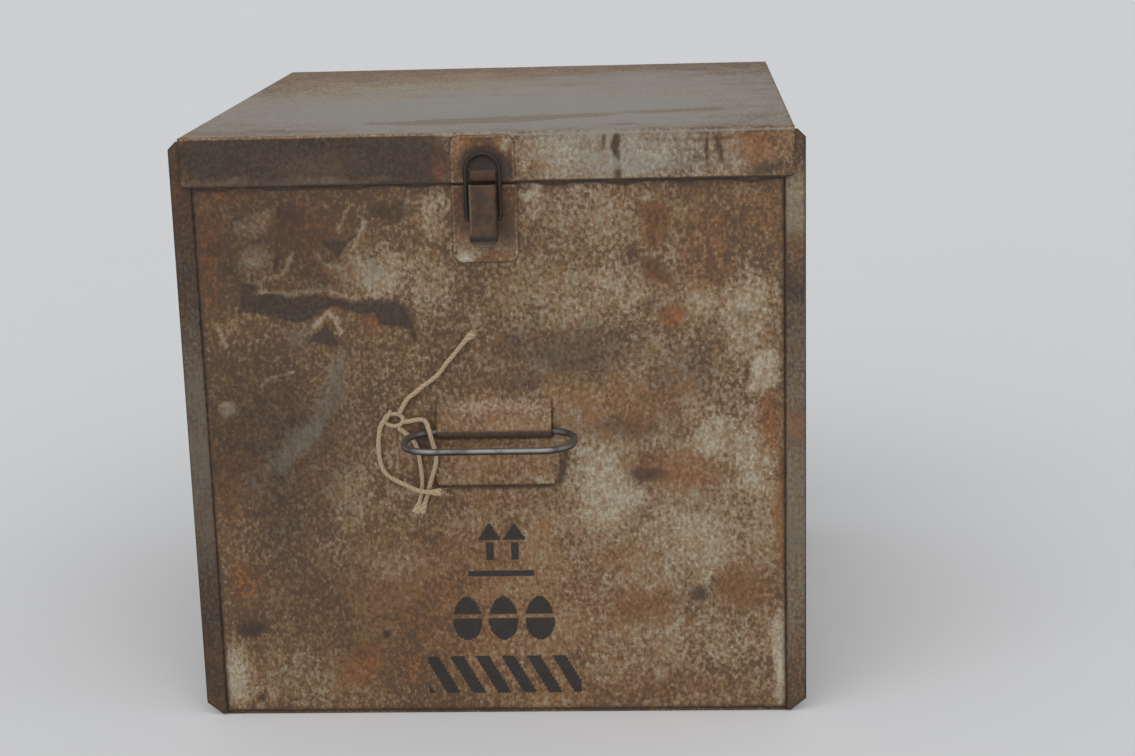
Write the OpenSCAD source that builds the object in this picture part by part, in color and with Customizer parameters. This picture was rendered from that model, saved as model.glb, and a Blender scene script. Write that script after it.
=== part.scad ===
// Sheet-metal egg carrier crate with a hinged lid, a toggle latch, two wire handles and card egg fillers.
// Millimetres. The origin is the middle of the base, +X is right, +Y is back and +Z is up.

/* [Body] */
// Width over the edge strips of the side panels
body_w = 318; // [306:1:360]
// Depth over the front and back edge strips
body_d = 330; // [316:1:380]
// Height of the top edges of the side panels
body_h = 307; // [296:1:340]
// Thickness of the galvanised sheet
sheet_t = 0.8; // [0.6:0.1:1]
// Width of the edge strips that the side panels turn out along the front and back
strip_w = 10.5; // [9:0.5:13]
// Bevel of the top corners of the edge strips
top_bevel = 4; // [2:0.5:8]
// Width of the bevel of the bottom corners of the edge strips
foot_bevel_w = 8; // [5:0.5:9]
// Height of the bevel of the bottom corners of the edge strips
foot_bevel_h = 6.5; // [4:0.5:9]
// Width of the flanges that the side panels turn in over the bottom
foot_flange_w = 10; // [8:1:20]
// Depth of the flanges that the front and back panels turn in along the sides
panel_flange_d = 10; // [8:1:14]
// Depth of the folded hems
hem_h = 8; // [5:1:10]
// Height of the flanges turned up from the bottom
bottom_flange_h = 15; // [10:1:25]

/* [Lid] */
// How far the lid runs out over the side panels
lid_reach = 4.9; // [3:0.1:6]
// Height of the front skirt
lid_skirt_h = 25.4; // [23:0.1:30]
// Height of the rear skirt that carries the hinges
rear_skirt_h = 14; // [13:0.5:18]
// Radius of the lower corners of the front skirt
skirt_corner_r = 3; // [1:0.5:5]

/* [Hinges] */
// Distance from each side of the body to the middle of its hinge
hinge_inset = 64; // [45:1:100]
// Length of a hinge along its pin
hinge_l = 50; // [36:1:70]
// Thickness of a hinge leaf
hinge_leaf_t = 1.2; // [1:0.1:1.6]
// Diameter of a hinge pin
hinge_pin_d = 3; // [2.5:0.1:4]
// Length of the middle knuckle, which belongs to the lid leaf
hinge_mid_knuckle_l = 16; // [10:1:24]
// Height of the body leaf below the pin
hinge_body_leaf_h = 18; // [17:0.5:24]
// Height of the lid leaf above the pin
hinge_lid_leaf_h = 12.5; // [11:0.5:13]

/* [Rivets] */
// Diameter of a rivet shank
rivet_d = 2.5; // [2:0.1:3]
// Diameter of a rivet head
rivet_head_d = 5; // [4:0.5:5.5]
// Height of a rivet head
rivet_head_h = 1.1; // [0.8:0.1:1.3]

/* [Latch] */
// Sideways place of the latch
latch_x = -1; // [-60:1:60]
// Thickness of the strike plate and the base plate
plate_t = 1; // [0.8:0.1:1.4]
// Width of the strike plate on the lid
strike_w = 32; // [28:1:40]
// Width of the base plate on the body
base_w = 33; // [28:1:40]
// Height of the base plate
base_h = 39.5; // [36:0.5:50]
// Corner radius of both plates
plate_corner_r = 4.5; // [2:0.5:6]
// Width of the keeper tongue on the strike plate
keeper_w = 13.4; // [10:0.1:13.4]
// Height of the keeper tongue
keeper_h = 6.5; // [4:0.5:8]
// How far the keeper tongue stands out
keeper_out = 1.2; // [0.8:0.1:1.6]
// Outside width of the lever
lever_w = 14; // [14:0.5:20]
// Length of the lever
lever_l = 31.1; // [24:0.1:32]
// Thickness of the lever's sheet
lever_t = 1.2; // [1:0.1:1.4]
// Diameter of the lever pin
lever_pin_d = 2; // [1.6:0.1:2.2]
// Diameter of the bail's wire
bail_wire_d = 2.3; // [2:0.1:2.5]
// Distance from the lever pin down to the bail's feet
bail_drop = 13.6; // [12:0.1:15]
// Height of the bail's straight legs
bail_leg_h = 24.3; // [22:0.1:25]

/* [Handles] */
// Diameter of the handle wire
wire_d = 3.5; // [3:0.1:4]
// Outside width of the wire loop
handle_w = 89; // [80:1:110]
// Distance between the two long legs of the loop
handle_reach = 38; // [34:1:45]
// Radius of the loop's corners
handle_corner_r = 16; // [12:0.5:17]
// How far the loop has slid sideways in its bridge
handle_shift = -1; // [-1:0.5:1]
// Height of the handle's pivot
handle_z = 155.5; // [120:0.5:200]
// Width of the pressed bridge
bridge_w = 59; // [50:1:62]
// Height of the bridge above the pivot
bridge_up = 16.5; // [12:0.5:22]
// Half the height of the bridge's crest
crest_half = 2.2; // [1.8:0.1:3]
// How far the boss below the handle stands out
boss_out = 3.5; // [2:0.1:3.7]
// Width of the boss at its top
boss_top_w = 74; // [66:1:78]
// Width of the boss at its bottom
boss_low_w = 63; // [56:1:66]
// Height of the boss
boss_h = 24; // [18:1:30]

/* [Egg fillers] */
// Layers of eggs
layers = 4; // [3:1:4]
// Cells along each side of a layer
cells = 6; // [5:1:7]
// Height of a filler strip
filler_h = 66; // [58:1:68]
// Thickness of the filler card
card_t = 1.6; // [1:0.1:2.4]
// Thickness of a flat under each layer
flat_t = 2; // [1.5:0.1:2.5]
// How far the strips run past the outer crossings
filler_end = 2; // [2:0.5:6]

/* [Twine] */
// Diameter of the twine
twine_d = 2.4; // [1.6:0.1:2.6]
// Radius of the knot's loop, to the middle of the twine
knot_r = 4.6; // [4:0.1:5]

/* [Clearances] */
// Gap between panels of the body
panel_gap = 0.2; // [0.1:0.05:0.4]
// Gap under the lid's side hems
lid_rest_gap = 0.3; // [0.2:0.1:0.6]
// Gap between the front skirt's hem and the edge strips
lid_front_gap = 0.6; // [0.5:0.1:1]
// Gap beside the lid's rear skirt
lid_side_gap = 0.3; // [0.2:0.1:0.6]
// Gap between the lid's rear skirt and the back panel
rear_gap = 1.4; // [1:0.1:2]
// Radial clearance of pins, wire feet and rivets
run_gap = 0.05; // [0.03:0.01:0.1]
// Gap between the knuckles of a hinge
knuckle_gap = 0.4; // [0.3:0.1:0.6]
// Gap between the moving pieces of the latch
latch_gap = 0.35; // [0.3:0.05:0.45]
// Gap between the handle wire and the panel behind it
wire_back_gap = 1.65; // [1.2:0.05:2]
// Gap between the handle wire and the bridge over it
bridge_gap = 0.8; // [0.7:0.05:1.2]
// Gap round the egg fillers
filler_gap = 2.5; // [1.5:0.5:5]
// Gap on each side of a card in its slot
slot_gap = 0.3; // [0.2:0.05:0.5]

/* [Hidden] */

// Fineness of round features
$fn = 48;
// Overlap that makes a cut pass right through
cut = 1;

// Planes of the body
half_w = body_w / 2;
strip_face = body_d / 2;
panel_face = strip_face - sheet_t;
panel_in = panel_face - sheet_t;
hem_in = panel_in - sheet_t;
mouth_half = half_w - strip_w;
floor_top = 2 * sheet_t;

// Planes of the lid
lid_low = body_h + lid_rest_gap;
lid_top = lid_low + 2 * sheet_t;
lid_half = mouth_half + lid_reach;
skirt_face = strip_face + lid_front_gap + 2 * sheet_t;
skirt_low = lid_top - lid_skirt_h;
rear_low = lid_top - rear_skirt_h;
back_top = rear_low - rear_gap;

// Hinge axis and leaves
knuckle_r = hinge_pin_d / 2 + run_gap + hinge_leaf_t;
hinge_y = panel_face + knuckle_r;
hinge_z = rear_low - rear_gap / 2;
leaf_start = sqrt(pow(knuckle_r, 2) - pow(knuckle_r - hinge_leaf_t, 2)) + knuckle_gap;
hinge_pin_over = 1;
leaf_rivet_in = 9;
body_rivet_z = back_top - hem_h - rivet_head_d / 2 - knuckle_gap;
lid_rivet_z = hinge_z + (leaf_start + hinge_lid_leaf_h) / 2;
rivet_tail_h = 0.7;
rivet_tail_over = 1.5;
rivet_tail_d = rivet_d + rivet_tail_over;
rivet_top_share = 0.6;
rivet_hole_l = 8;

// Latch places, measured outwards from the face of the base plate
base_face = panel_face + plate_t;
base_top_gap = 1;
base_top = skirt_low - base_top_gap;
keeper_face = skirt_face + plate_t + keeper_out - base_face;
bail_top_out = keeper_face + latch_gap + bail_wire_d / 2;
bail_lean_out = 0.6;
bail_foot_out = bail_top_out + bail_lean_out;
over_centre = 0.3;
pivot_out = bail_foot_out + over_centre;
pivot_drop = 3.9;
pivot_z = skirt_low - pivot_drop;
lever_over = 4;
lever_top = pivot_z + lever_over;
lever_low = lever_top - lever_l;
pin_to_front = 1.2;
pivot_to_front = lever_pin_d / 2 + pin_to_front;
front_in = pivot_out + pivot_to_front;
lever_eye_r = 4.2;
lever_corner_r = 4.5;
lever_lip_d = 2.4;
lever_wall_behind = 3;
lever_wall_in = bail_foot_out - lever_wall_behind;
lever_tail_depth = 2.5;
lever_tail_up = 5;
ear_front_gap = 0.3;
ear_r = pivot_to_front - ear_front_gap;
ear_t = 1.2;
ear_slope = 51;
ear_side_gap = 0.4;
ear_x = lever_w / 2 - lever_t - ear_side_gap - ear_t;
bail_half = lever_w / 2 + latch_gap + bail_wire_d / 2;
bail_foot_z = pivot_z - bail_drop;
bail_foot_in = 0.6;
bail_lean = atan(bail_lean_out / (bail_leg_h + bail_half));
strike_low_gap = 0.5;
strike_low = skirt_low + strike_low_gap;
strike_top_gap = 1.4;
strike_h = lid_top - strike_top_gap - strike_low;
keeper_slope = 1;
base_rivet_drops = [21, 3];
base_rivet_z = [for (d = base_rivet_drops) pivot_z - d];

// Handle, bridge and boss, measured outwards from the face of the panel
wire_out = wire_back_gap + wire_d / 2;
loop_left = handle_shift - (handle_w - wire_d) / 2;
crest_out = wire_out + wire_d / 2 + bridge_gap + sheet_t;
bridge_top = handle_z + bridge_up;
bridge_under = 2.4;
bridge_low = handle_z - crest_half - bridge_under;
boss_gap = 1;
boss_top = bridge_low - boss_gap;
boss_low = boss_top - boss_h;
boss_slope_h = 6;
boss_foot_h = 1;

// Egg fillers
filler_half_x = mouth_half - filler_gap;
filler_half_y = hem_in - filler_gap;
pitch_x = 2 * (filler_half_x - filler_end) / cells;
pitch_y = 2 * (filler_half_y - filler_end) / cells;
layer_h = filler_h + flat_t;

// Twine routes: points chosen along each loose strand, each as the distance right of the loop's left leg,
// out from the face of the panel and up from the handle's pivot
knot_at = [-7.8, 2.2, 6.5];
upper_tail_route = [
    [-4.8, 2.2, 10], [-0.8, 1.8, 16.8], [3.2, 1.7, 20.2], [7.5, 1.7, 23.7], [11.2, 1.7, 26.3],
    [14.9, 1.7, 29.1], [17.8, 1.7, 32.2], [20.1, 1.7, 35.5], [22.8, 1.7, 38.5], [25.4, 1.8, 41.5],
    [28.4, 2.2, 45.1], [31.4, 2.7, 48.5], [35.1, 3.2, 51.5]
];
lower_tail_route = [
    [-12.2, 2.2, 7], [-14.8, 1.8, 3], [-16, 1.7, -2.5], [-16.4, 1.7, -8], [-16.2, 1.7, -13.5],
    [-14.9, 1.7, -19.5], [-12, 1.7, -23.5], [-7.2, 1.8, -26.5], [-1.8, 2.8, -28.9], [3.2, 5, -30.5],
    [7.8, 5.8, -31.2], [11.8, 5.5, -31.5], [15.2, 4.8, -31.7]
];
front_strand_route = [
    [-3.2, 2.2, 5.5], [-0.2, 1.7, 5.5], [3.8, 1.7, 6.2], [7.2, 2.3, 6.3], [9.2, 4.8, 5.4],
    [10.5, 7.4, 2.7], [11.5, 8.6, -0.3], [12.1, 8, -3.7], [12.9, 6.6, -7.5], [13.6, 5.5, -12],
    [12.9, 5.2, -17.5], [11.1, 5.2, -23], [9.5, 3.8, -28], [8.1, 2.2, -33], [6.2, 1.7, -38.5],
    [4.2, 1.7, -43.5]
];
back_strand_route = [
    [-5.8, 2.2, 2.5], [-2.2, 1.7, -0.7], [1.2, 1.7, -4], [3.5, 1.7, -8.5], [4.4, 1.7, -14],
    [5, 1.7, -19.5], [5.4, 1.7, -25], [5, 1.7, -30.5], [3.8, 1.7, -36.5], [1.2, 1.7, -43.5]
];
twine_sides = 8;

// Colours
zinc = [0.56, 0.51, 0.43];
rust = [0.43, 0.32, 0.22];
dark_iron = [0.24, 0.19, 0.17];
bright_wire = [0.58, 0.61, 0.65];
cream_twine = [0.80, 0.71, 0.53];
brown_card = [0.62, 0.50, 0.36];

function unit(v) = v / norm(v);
// Direction of a route at one of its points
function heading(route, i) = unit(route[min(i + 1, len(route) - 1)] - route[max(i - 1, 0)]);
function side_of(t) = unit(cross(t, [0, 1, 0]));
// A twine point in the part's own frame
function twine_point(p) = [loop_left + p[0], -panel_face - p[1], handle_z + p[2]];
function route_ring(route, i) =
    let (t = heading(route, i), a = side_of(t), b = cross(a, t))
    [for (k = [0 : twine_sides - 1]) let (w = 360 * k / twine_sides)
        route[i] + twine_d / 2 * (cos(w) * a + sin(w) * b)];

// Draws a front-view shape as a plate from y0 back by depth
module upright(y0, depth) {
    translate([0, y0 + depth, 0])
        rotate([90, 0, 0])
            linear_extrude(depth)
                children();
}

// Draws a profile, given as distance out from a front face and height, along X
module front_profile(face, x0, length) {
    translate([x0, -face, 0])
        mirror([0, 1, 0])
            rotate([90, 0, 90])
                linear_extrude(length)
                    children();
}

// Draws a profile, given as Y and Z, along X
module side_profile(x0, length) {
    translate([x0, 0, 0])
        rotate([90, 0, 90])
            linear_extrude(length)
                children();
}

// Rectangle with two rounded corners, at the top or at the bottom
module plate_outline(w, h, r, round_top) {
    flip = round_top ? 0 : 1;
    translate([0, flip * h])
        mirror([0, flip]) {
            translate([-w / 2, 0])
                square([w, h - r]);
            translate([-w / 2 + r, h - r])
                square([w - 2 * r, r]);
            for (s = [-1, 1])
                translate([s * (w / 2 - r), h - r])
                    circle(r);
        }
}

// Rivet along -Y with its head on the plane y = 0 and its tail behind the grip
module rivet(grip) {
    rotate([90, 0, 0]) {
        cylinder(h = rivet_head_h, d1 = rivet_head_d, d2 = rivet_head_d * rivet_top_share);
        translate([0, 0, -grip])
            cylinder(h = grip, d = rivet_d);
        translate([0, 0, -grip - rivet_tail_h])
            cylinder(h = rivet_tail_h, d = rivet_tail_d);
    }
}

// Hole along Y for a rivet, through everything near y
module rivet_hole(y, z, x = 0) {
    translate([x, y, z])
        rotate([90, 0, 0])
            cylinder(h = rivet_hole_l, d = rivet_d + 2 * run_gap, center = true);
}

// Edge strip up to a height, with its outer corners bevelled
module edge_strip(y, top_z) {
    upright(y, sheet_t)
        polygon([
            [mouth_half, sheet_t],
            [half_w - foot_bevel_w, sheet_t],
            [half_w, sheet_t + foot_bevel_h],
            [half_w, top_z - top_bevel],
            [half_w - top_bevel, top_z],
            [mouth_half, top_z]
        ]);
}

// Right side: a wall with strips turned out along the front and back and a flange turned in over the bottom
module right_side() {
    translate([mouth_half, -strip_face, sheet_t])
        cube([sheet_t, body_d, body_h - sheet_t]);
    translate([mouth_half - foot_flange_w, -panel_face, sheet_t])
        cube([foot_flange_w + sheet_t, 2 * panel_face, sheet_t]);
    edge_strip(-strip_face, body_h);
    edge_strip(panel_face, back_top);
}

module right_side_panel() {
    color(rust)
        right_side();
}

module left_side_panel() {
    color(rust)
        mirror([1, 0, 0])
            right_side();
}

// Pressed bridge over the handle wire
module bridge() {
    front_profile(panel_face, -bridge_w / 2, bridge_w)
        polygon([
            [0, bridge_top],
            [-sheet_t, bridge_top],
            [crest_out - sheet_t, handle_z + crest_half - sheet_t / 2],
            [crest_out - sheet_t, handle_z - crest_half + sheet_t / 2],
            [-sheet_t, bridge_low],
            [0, bridge_low],
            [crest_out, handle_z - crest_half],
            [crest_out, handle_z + crest_half]
        ]);
}

// Block of the raised boss below the handle, drawn in by t for its hollow
module boss(t) {
    low = boss_low + t;
    top = boss_top - t;
    out = boss_out - t;
    intersection() {
        front_profile(panel_face, -boss_top_w / 2, boss_top_w)
            polygon([
                [-sheet_t, low], [0, low], [out, low + boss_foot_h],
                [out, top - boss_slope_h], [0, top], [-sheet_t, top]
            ]);
        upright(-panel_face - boss_out - cut, boss_out + sheet_t + 2 * cut)
            polygon([
                [-boss_low_w / 2 + t, low], [boss_low_w / 2 - t, low],
                [boss_top_w / 2 - t, top], [-boss_top_w / 2 + t, top]
            ]);
    }
}

// Front or back panel, drawn as the front one, with its top edge at top_z
module handle_panel(top_z) {
    low = floor_top + panel_gap;
    difference() {
        union() {
            upright(-panel_face, sheet_t)
                difference() {
                    translate([-mouth_half, low])
                        square([2 * mouth_half, top_z - low]);
                    translate([-bridge_w / 2, bridge_low])
                        square([bridge_w, bridge_top - bridge_low]);
                }
            for (x = [-mouth_half, mouth_half - sheet_t])
                translate([x, -panel_face, low])
                    cube([sheet_t, panel_flange_d, top_z - low]);
            upright(-panel_in, sheet_t)
                translate([-mouth_half, top_z - hem_h])
                    square([2 * mouth_half, hem_h]);
            bridge();
            boss(0);
        }
        boss(sheet_t);
    }
}

module front_panel() {
    color(zinc)
        difference() {
            handle_panel(body_h);
            for (z = base_rivet_z)
                rivet_hole(-panel_face, z, latch_x);
        }
}

module back_panel() {
    color(zinc)
        difference() {
            rotate([0, 0, 180])
                handle_panel(back_top);
            for (x = hinge_rivet_xs())
                rivet_hole(panel_face, body_rivet_z, x);
        }
}

module bottom_panel() {
    half_x = mouth_half + sheet_t;
    half_y = panel_in - panel_gap;
    flange_half = mouth_half - foot_flange_w - panel_gap;
    color(rust) {
        translate([-half_x, -half_y, 0])
            cube([2 * half_x, 2 * half_y, sheet_t]);
        for (y = [-half_y, half_y - sheet_t])
            translate([-flange_half, y, 0])
                cube([2 * flange_half, sheet_t, bottom_flange_h]);
    }
}

module lid_panel() {
    rear_half = mouth_half - lid_side_gap;
    color(zinc)
        difference() {
            union() {
                translate([-lid_half, -skirt_face, lid_top - sheet_t])
                    cube([2 * lid_half, skirt_face + panel_face, sheet_t]);
                for (x = [-lid_half, lid_half - hem_h])
                    translate([x, -skirt_face, lid_low])
                        cube([hem_h, skirt_face + panel_in, sheet_t]);
                upright(-skirt_face, sheet_t)
                    translate([0, skirt_low])
                        plate_outline(2 * lid_half, lid_skirt_h, skirt_corner_r, false);
                translate([-lid_half + skirt_corner_r, sheet_t - skirt_face, skirt_low])
                    cube([2 * (lid_half - skirt_corner_r), sheet_t, hem_h]);
                translate([-rear_half, panel_in, rear_low])
                    cube([2 * rear_half, sheet_t, rear_skirt_h]);
            }
            for (x = hinge_rivet_xs())
                rivet_hole(panel_face, lid_rivet_z, x);
        }
}

function hinge_xs() = [hinge_inset - half_w, half_w - hinge_inset];
function hinge_rivet_xs() = [
    for (x = hinge_xs(), s = [-1, 1]) x + s * (hinge_l / 2 - leaf_rivet_in)
];

// One hinge leaf at x: up is 1 for the lid leaf and -1 for the body leaf
module hinge_leaf(x, up, leaf_h, knuckles, rivet_z) {
    difference() {
        union() {
            translate([x - hinge_l / 2, panel_face, up > 0 ? hinge_z + leaf_start : hinge_z - leaf_h])
                cube([hinge_l, hinge_leaf_t, leaf_h - leaf_start]);
            for (k = knuckles)
                side_profile(x + k[0], k[1]) {
                    translate([hinge_y, hinge_z])
                        circle(knuckle_r);
                    translate([panel_face, up > 0 ? hinge_z : hinge_z - leaf_start - cut])
                        square([hinge_leaf_t, leaf_start + cut]);
                }
        }
        translate([x, hinge_y, hinge_z])
            rotate([0, 90, 0])
                cylinder(h = hinge_l + 2 * cut, d = hinge_pin_d + 2 * run_gap, center = true);
        for (s = [-1, 1])
            rivet_hole(panel_face, rivet_z, x + s * (hinge_l / 2 - leaf_rivet_in));
    }
}

module hinge_body_leaf(x) {
    end_l = (hinge_l - hinge_mid_knuckle_l) / 2 - knuckle_gap;
    color(dark_iron)
        hinge_leaf(
            x, -1, hinge_body_leaf_h,
            [[-hinge_l / 2, end_l], [hinge_l / 2 - end_l, end_l]],
            body_rivet_z
        );
}

module hinge_lid_leaf(x) {
    color(dark_iron)
        hinge_leaf(x, 1, hinge_lid_leaf_h, [[-hinge_mid_knuckle_l / 2, hinge_mid_knuckle_l]], lid_rivet_z);
}

module hinge_pin(x) {
    color(rust)
        translate([x - hinge_l / 2 - hinge_pin_over, hinge_y, hinge_z])
            rotate([0, 90, 0]) {
                cylinder(h = hinge_l + 2 * hinge_pin_over, d = hinge_pin_d);
                for (z = [0, hinge_l + hinge_pin_over + run_gap])
                    translate([0, 0, z])
                        cylinder(h = hinge_pin_over - run_gap, d = hinge_pin_d + hinge_leaf_t);
            }
}

module hinge_rivets(z) {
    color(rust)
        for (x = hinge_rivet_xs())
            translate([x, panel_face + hinge_leaf_t, z])
                rotate([0, 0, 180])
                    rivet(hinge_leaf_t + sheet_t);
}

// Arched window that the keeper tongue leaves in the plate it is cut from
module keeper_window() {
    intersection() {
        circle(keeper_w / 2);
        translate([-keeper_w / 2, 0])
            square([keeper_w, keeper_w / 2]);
    }
}

module latch_strike_plate() {
    color(rust)
        translate([latch_x, 0, 0]) {
            upright(-skirt_face - plate_t, plate_t)
                difference() {
                    translate([0, strike_low])
                        plate_outline(strike_w, strike_h, plate_corner_r, true);
                    translate([0, strike_low + keeper_h])
                        keeper_window();
                }
            front_profile(skirt_face + plate_t, -keeper_w / 2, keeper_w)
                polygon([
                    [0, strike_low],
                    [keeper_out, strike_low + keeper_slope],
                    [keeper_out, strike_low + keeper_h],
                    [0, strike_low + keeper_h - keeper_slope]
                ]);
        }
}

// Ear of the base plate: an eye round the pin on an arm that slopes down to the plate
module latch_ear() {
    along = [cos(ear_slope), sin(ear_slope)];
    across = [sin(ear_slope), -cos(ear_slope)];
    eye = [pivot_out, pivot_z];
    upper = eye - [ear_r * across[0], ear_r * across[1]];
    lower = eye + [ear_r * across[0], ear_r * across[1]];
    difference() {
        union() {
            translate(eye)
                circle(ear_r);
            polygon([
                upper,
                lower,
                [0, lower[1] - lower[0] * along[1] / along[0]],
                [0, upper[1] - upper[0] * along[1] / along[0]]
            ]);
        }
        translate(eye)
            circle(lever_pin_d / 2 + run_gap);
    }
}

module latch_base_plate() {
    color(rust)
        translate([latch_x, 0, 0]) {
            difference() {
                upright(-base_face, plate_t)
                    translate([0, base_top - base_h])
                        plate_outline(base_w, base_h, plate_corner_r, false);
                for (z = base_rivet_z)
                    rivet_hole(-panel_face, z);
            }
            for (x = [-ear_x - ear_t, ear_x])
                front_profile(base_face, x, ear_t)
                    latch_ear();
        }
}

module latch_base_rivets() {
    color(rust)
        for (z = base_rivet_z)
            translate([latch_x, -base_face, z])
                rivet(plate_t + sheet_t);
}

// Side wall of the lever: an eye round the pin that runs down into a tapering flange
module lever_wall() {
    difference() {
        intersection() {
            union() {
                translate([pivot_out, pivot_z])
                    circle(lever_eye_r);
                polygon([
                    [front_in, pivot_z],
                    [lever_wall_in, pivot_z],
                    [lever_wall_in, bail_foot_z - bail_wire_d],
                    [front_in - lever_tail_depth, lever_low + lever_tail_up],
                    [front_in, lever_low + lever_tail_up]
                ]);
            }
            translate([0, lever_low])
                square([front_in, lever_l]);
        }
        translate([pivot_out, pivot_z])
            circle(lever_pin_d / 2 + run_gap);
        translate([bail_foot_out, bail_foot_z])
            circle(bail_wire_d / 2 + run_gap);
    }
}

module latch_lever() {
    lip_l = lever_w - 2 * lever_corner_r;
    color(dark_iron)
        translate([latch_x, 0, 0]) {
            upright(-base_face - front_in - lever_t, lever_t)
                translate([0, lever_low])
                    plate_outline(lever_w, lever_l, lever_corner_r, false);
            for (x = [-lever_w / 2, lever_w / 2 - lever_t])
                front_profile(base_face, x, lever_t)
                    lever_wall();
            translate([-lip_l / 2, -base_face - front_in - lever_t, lever_low + lever_lip_d / 2])
                rotate([0, 90, 0])
                    cylinder(h = lip_l, d = lever_lip_d);
        }
}

module latch_lever_pin() {
    color(rust)
        translate([latch_x - lever_w / 2, -base_face - pivot_out, pivot_z])
            rotate([0, 90, 0])
                cylinder(h = lever_w, d = lever_pin_d);
}

// Wire bail: two legs under a round arch, with feet bent into the lever's walls
module latch_bail() {
    foot_l = bail_half - lever_w / 2 + lever_t + bail_foot_in;
    color(dark_iron)
        translate([latch_x, -base_face - bail_foot_out, bail_foot_z])
            rotate([-bail_lean, 0, 0]) {
                for (s = [-1, 1])
                    translate([s * bail_half, 0, 0]) {
                        cylinder(h = bail_leg_h, d = bail_wire_d);
                        sphere(d = bail_wire_d);
                        rotate([0, -s * 90, 0])
                            cylinder(h = foot_l, d = bail_wire_d);
                    }
                translate([0, 0, bail_leg_h])
                    rotate([90, 0, 0])
                        rotate_extrude(angle = 180)
                            translate([bail_half, 0])
                                circle(d = bail_wire_d);
            }
}

// Closed wire loop that stands out level from the front panel
module wire_handle() {
    half = (handle_w - wire_d) / 2;
    straight = half - handle_corner_r;
    side = handle_reach - 2 * handle_corner_r;
    translate([handle_shift, -panel_face - wire_out, handle_z]) {
        for (y = [0, -handle_reach])
            translate([-straight, y, 0])
                rotate([0, 90, 0])
                    cylinder(h = 2 * straight, d = wire_d);
        for (s = [-1, 1])
            translate([s * half, -handle_corner_r, 0])
                rotate([90, 0, 0])
                    cylinder(h = side, d = wire_d);
        for (corner = [[1, -1, 0], [-1, -1, 90], [-1, 1, 180], [1, 1, 270]])
            translate([
                corner[0] * straight,
                corner[1] < 0 ? -handle_corner_r : handle_corner_r - handle_reach,
                0
            ])
                rotate([0, 0, corner[2]])
                    rotate_extrude(angle = 90)
                        translate([handle_corner_r, 0])
                            circle(d = wire_d);
    }
}

module front_handle() {
    color(bright_wire)
        wire_handle();
}

module back_handle() {
    color(bright_wire)
        rotate([0, 0, 180])
            wire_handle();
}

// Round cord along a route, one ring of points at each point of the route
module strand(route) {
    rings = len(route);
    n = twine_sides;
    placed = [for (p = route) twine_point(p)];
    points = [for (i = [0 : rings - 1]) each route_ring(placed, i)];
    walls = [
        for (i = [0 : rings - 2], k = [0 : n - 1])
            let (a = i * n + k, b = i * n + (k + 1) % n)
            each [[a, a + n, b], [b, a + n, b + n]]
    ];
    caps = [
        for (k = [1 : n - 2])
            each [[0, k, k + 1], [(rings - 1) * n, (rings - 1) * n + k + 1, (rings - 1) * n + k]]
    ];
    color(cream_twine)
        polyhedron(points, concat(walls, caps));
}

module twine_knot() {
    color(cream_twine)
        translate(twine_point(knot_at))
            rotate([90, 0, 0])
                rotate_extrude()
                    translate([knot_r, 0])
                        circle(d = twine_d);
}

// Height of a layer's flat
function flat_z(layer) = floor_top + layer * layer_h;

module flat(layer) {
    color(brown_card)
        translate([-filler_half_x, -filler_half_y, flat_z(layer)])
            cube([2 * filler_half_x, 2 * filler_half_y, flat_t]);
}

// Outline of one filler strip with its row of slots, cut down from the top or up from the bottom
module slotted_strip(half, pitch, from_top) {
    slot_h = filler_h / 2 + slot_gap;
    slot_w = card_t + 2 * slot_gap;
    difference() {
        translate([-half, 0])
            square([2 * half, filler_h]);
        for (i = [0 : cells])
            translate([(i - cells / 2) * pitch - slot_w / 2, from_top ? filler_h - slot_h : -cut])
                square([slot_w, slot_h + cut]);
    }
}

module filler_long_strips(layer) {
    color(brown_card)
        for (i = [0 : cells])
            side_profile((i - cells / 2) * pitch_x - card_t / 2, card_t)
                translate([0, flat_z(layer) + flat_t])
                    slotted_strip(filler_half_y, pitch_y, true);
}

module filler_cross_strips(layer) {
    color(brown_card)
        for (i = [0 : cells])
            upright((i - cells / 2) * pitch_y - card_t / 2, card_t)
                translate([0, flat_z(layer) + flat_t])
                    slotted_strip(filler_half_x, pitch_x, false);
}

left_side_panel();
right_side_panel();
front_panel();
back_panel();
bottom_panel();
lid_panel();
hinge_body_leaf(hinge_xs()[0]);  // left_hinge_body_leaf
hinge_lid_leaf(hinge_xs()[0]);  // left_hinge_lid_leaf
hinge_pin(hinge_xs()[0]);  // left_hinge_pin
hinge_body_leaf(hinge_xs()[1]);  // right_hinge_body_leaf
hinge_lid_leaf(hinge_xs()[1]);  // right_hinge_lid_leaf
hinge_pin(hinge_xs()[1]);  // right_hinge_pin
hinge_rivets(body_rivet_z);  // hinge_body_rivets
hinge_rivets(lid_rivet_z);  // hinge_lid_rivets
latch_strike_plate();
latch_base_plate();
latch_base_rivets();
latch_lever();
latch_lever_pin();
latch_bail();
front_handle();
back_handle();
strand(upper_tail_route);  // twine_upper_tail
strand(lower_tail_route);  // twine_lower_tail
strand(front_strand_route);  // twine_front_strand
strand(back_strand_route);  // twine_back_strand
twine_knot();
flat(0);  // flat_1
filler_long_strips(0);  // filler_1_long_strips
filler_cross_strips(0);  // filler_1_cross_strips
flat(1);  // flat_2
filler_long_strips(1);  // filler_2_long_strips
filler_cross_strips(1);  // filler_2_cross_strips
flat(2);  // flat_3
filler_long_strips(2);  // filler_3_long_strips
filler_cross_strips(2);  // filler_3_cross_strips
flat(3);  // flat_4
filler_long_strips(3);  // filler_4_long_strips
filler_cross_strips(3);  // filler_4_cross_strips
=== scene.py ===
"""Dresses the egg carrier crate: old zinc sheet, a rusted latch, wire handles, twine and egg fillers."""

import logging
from dataclasses import dataclass, field
from enum import Enum

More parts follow.
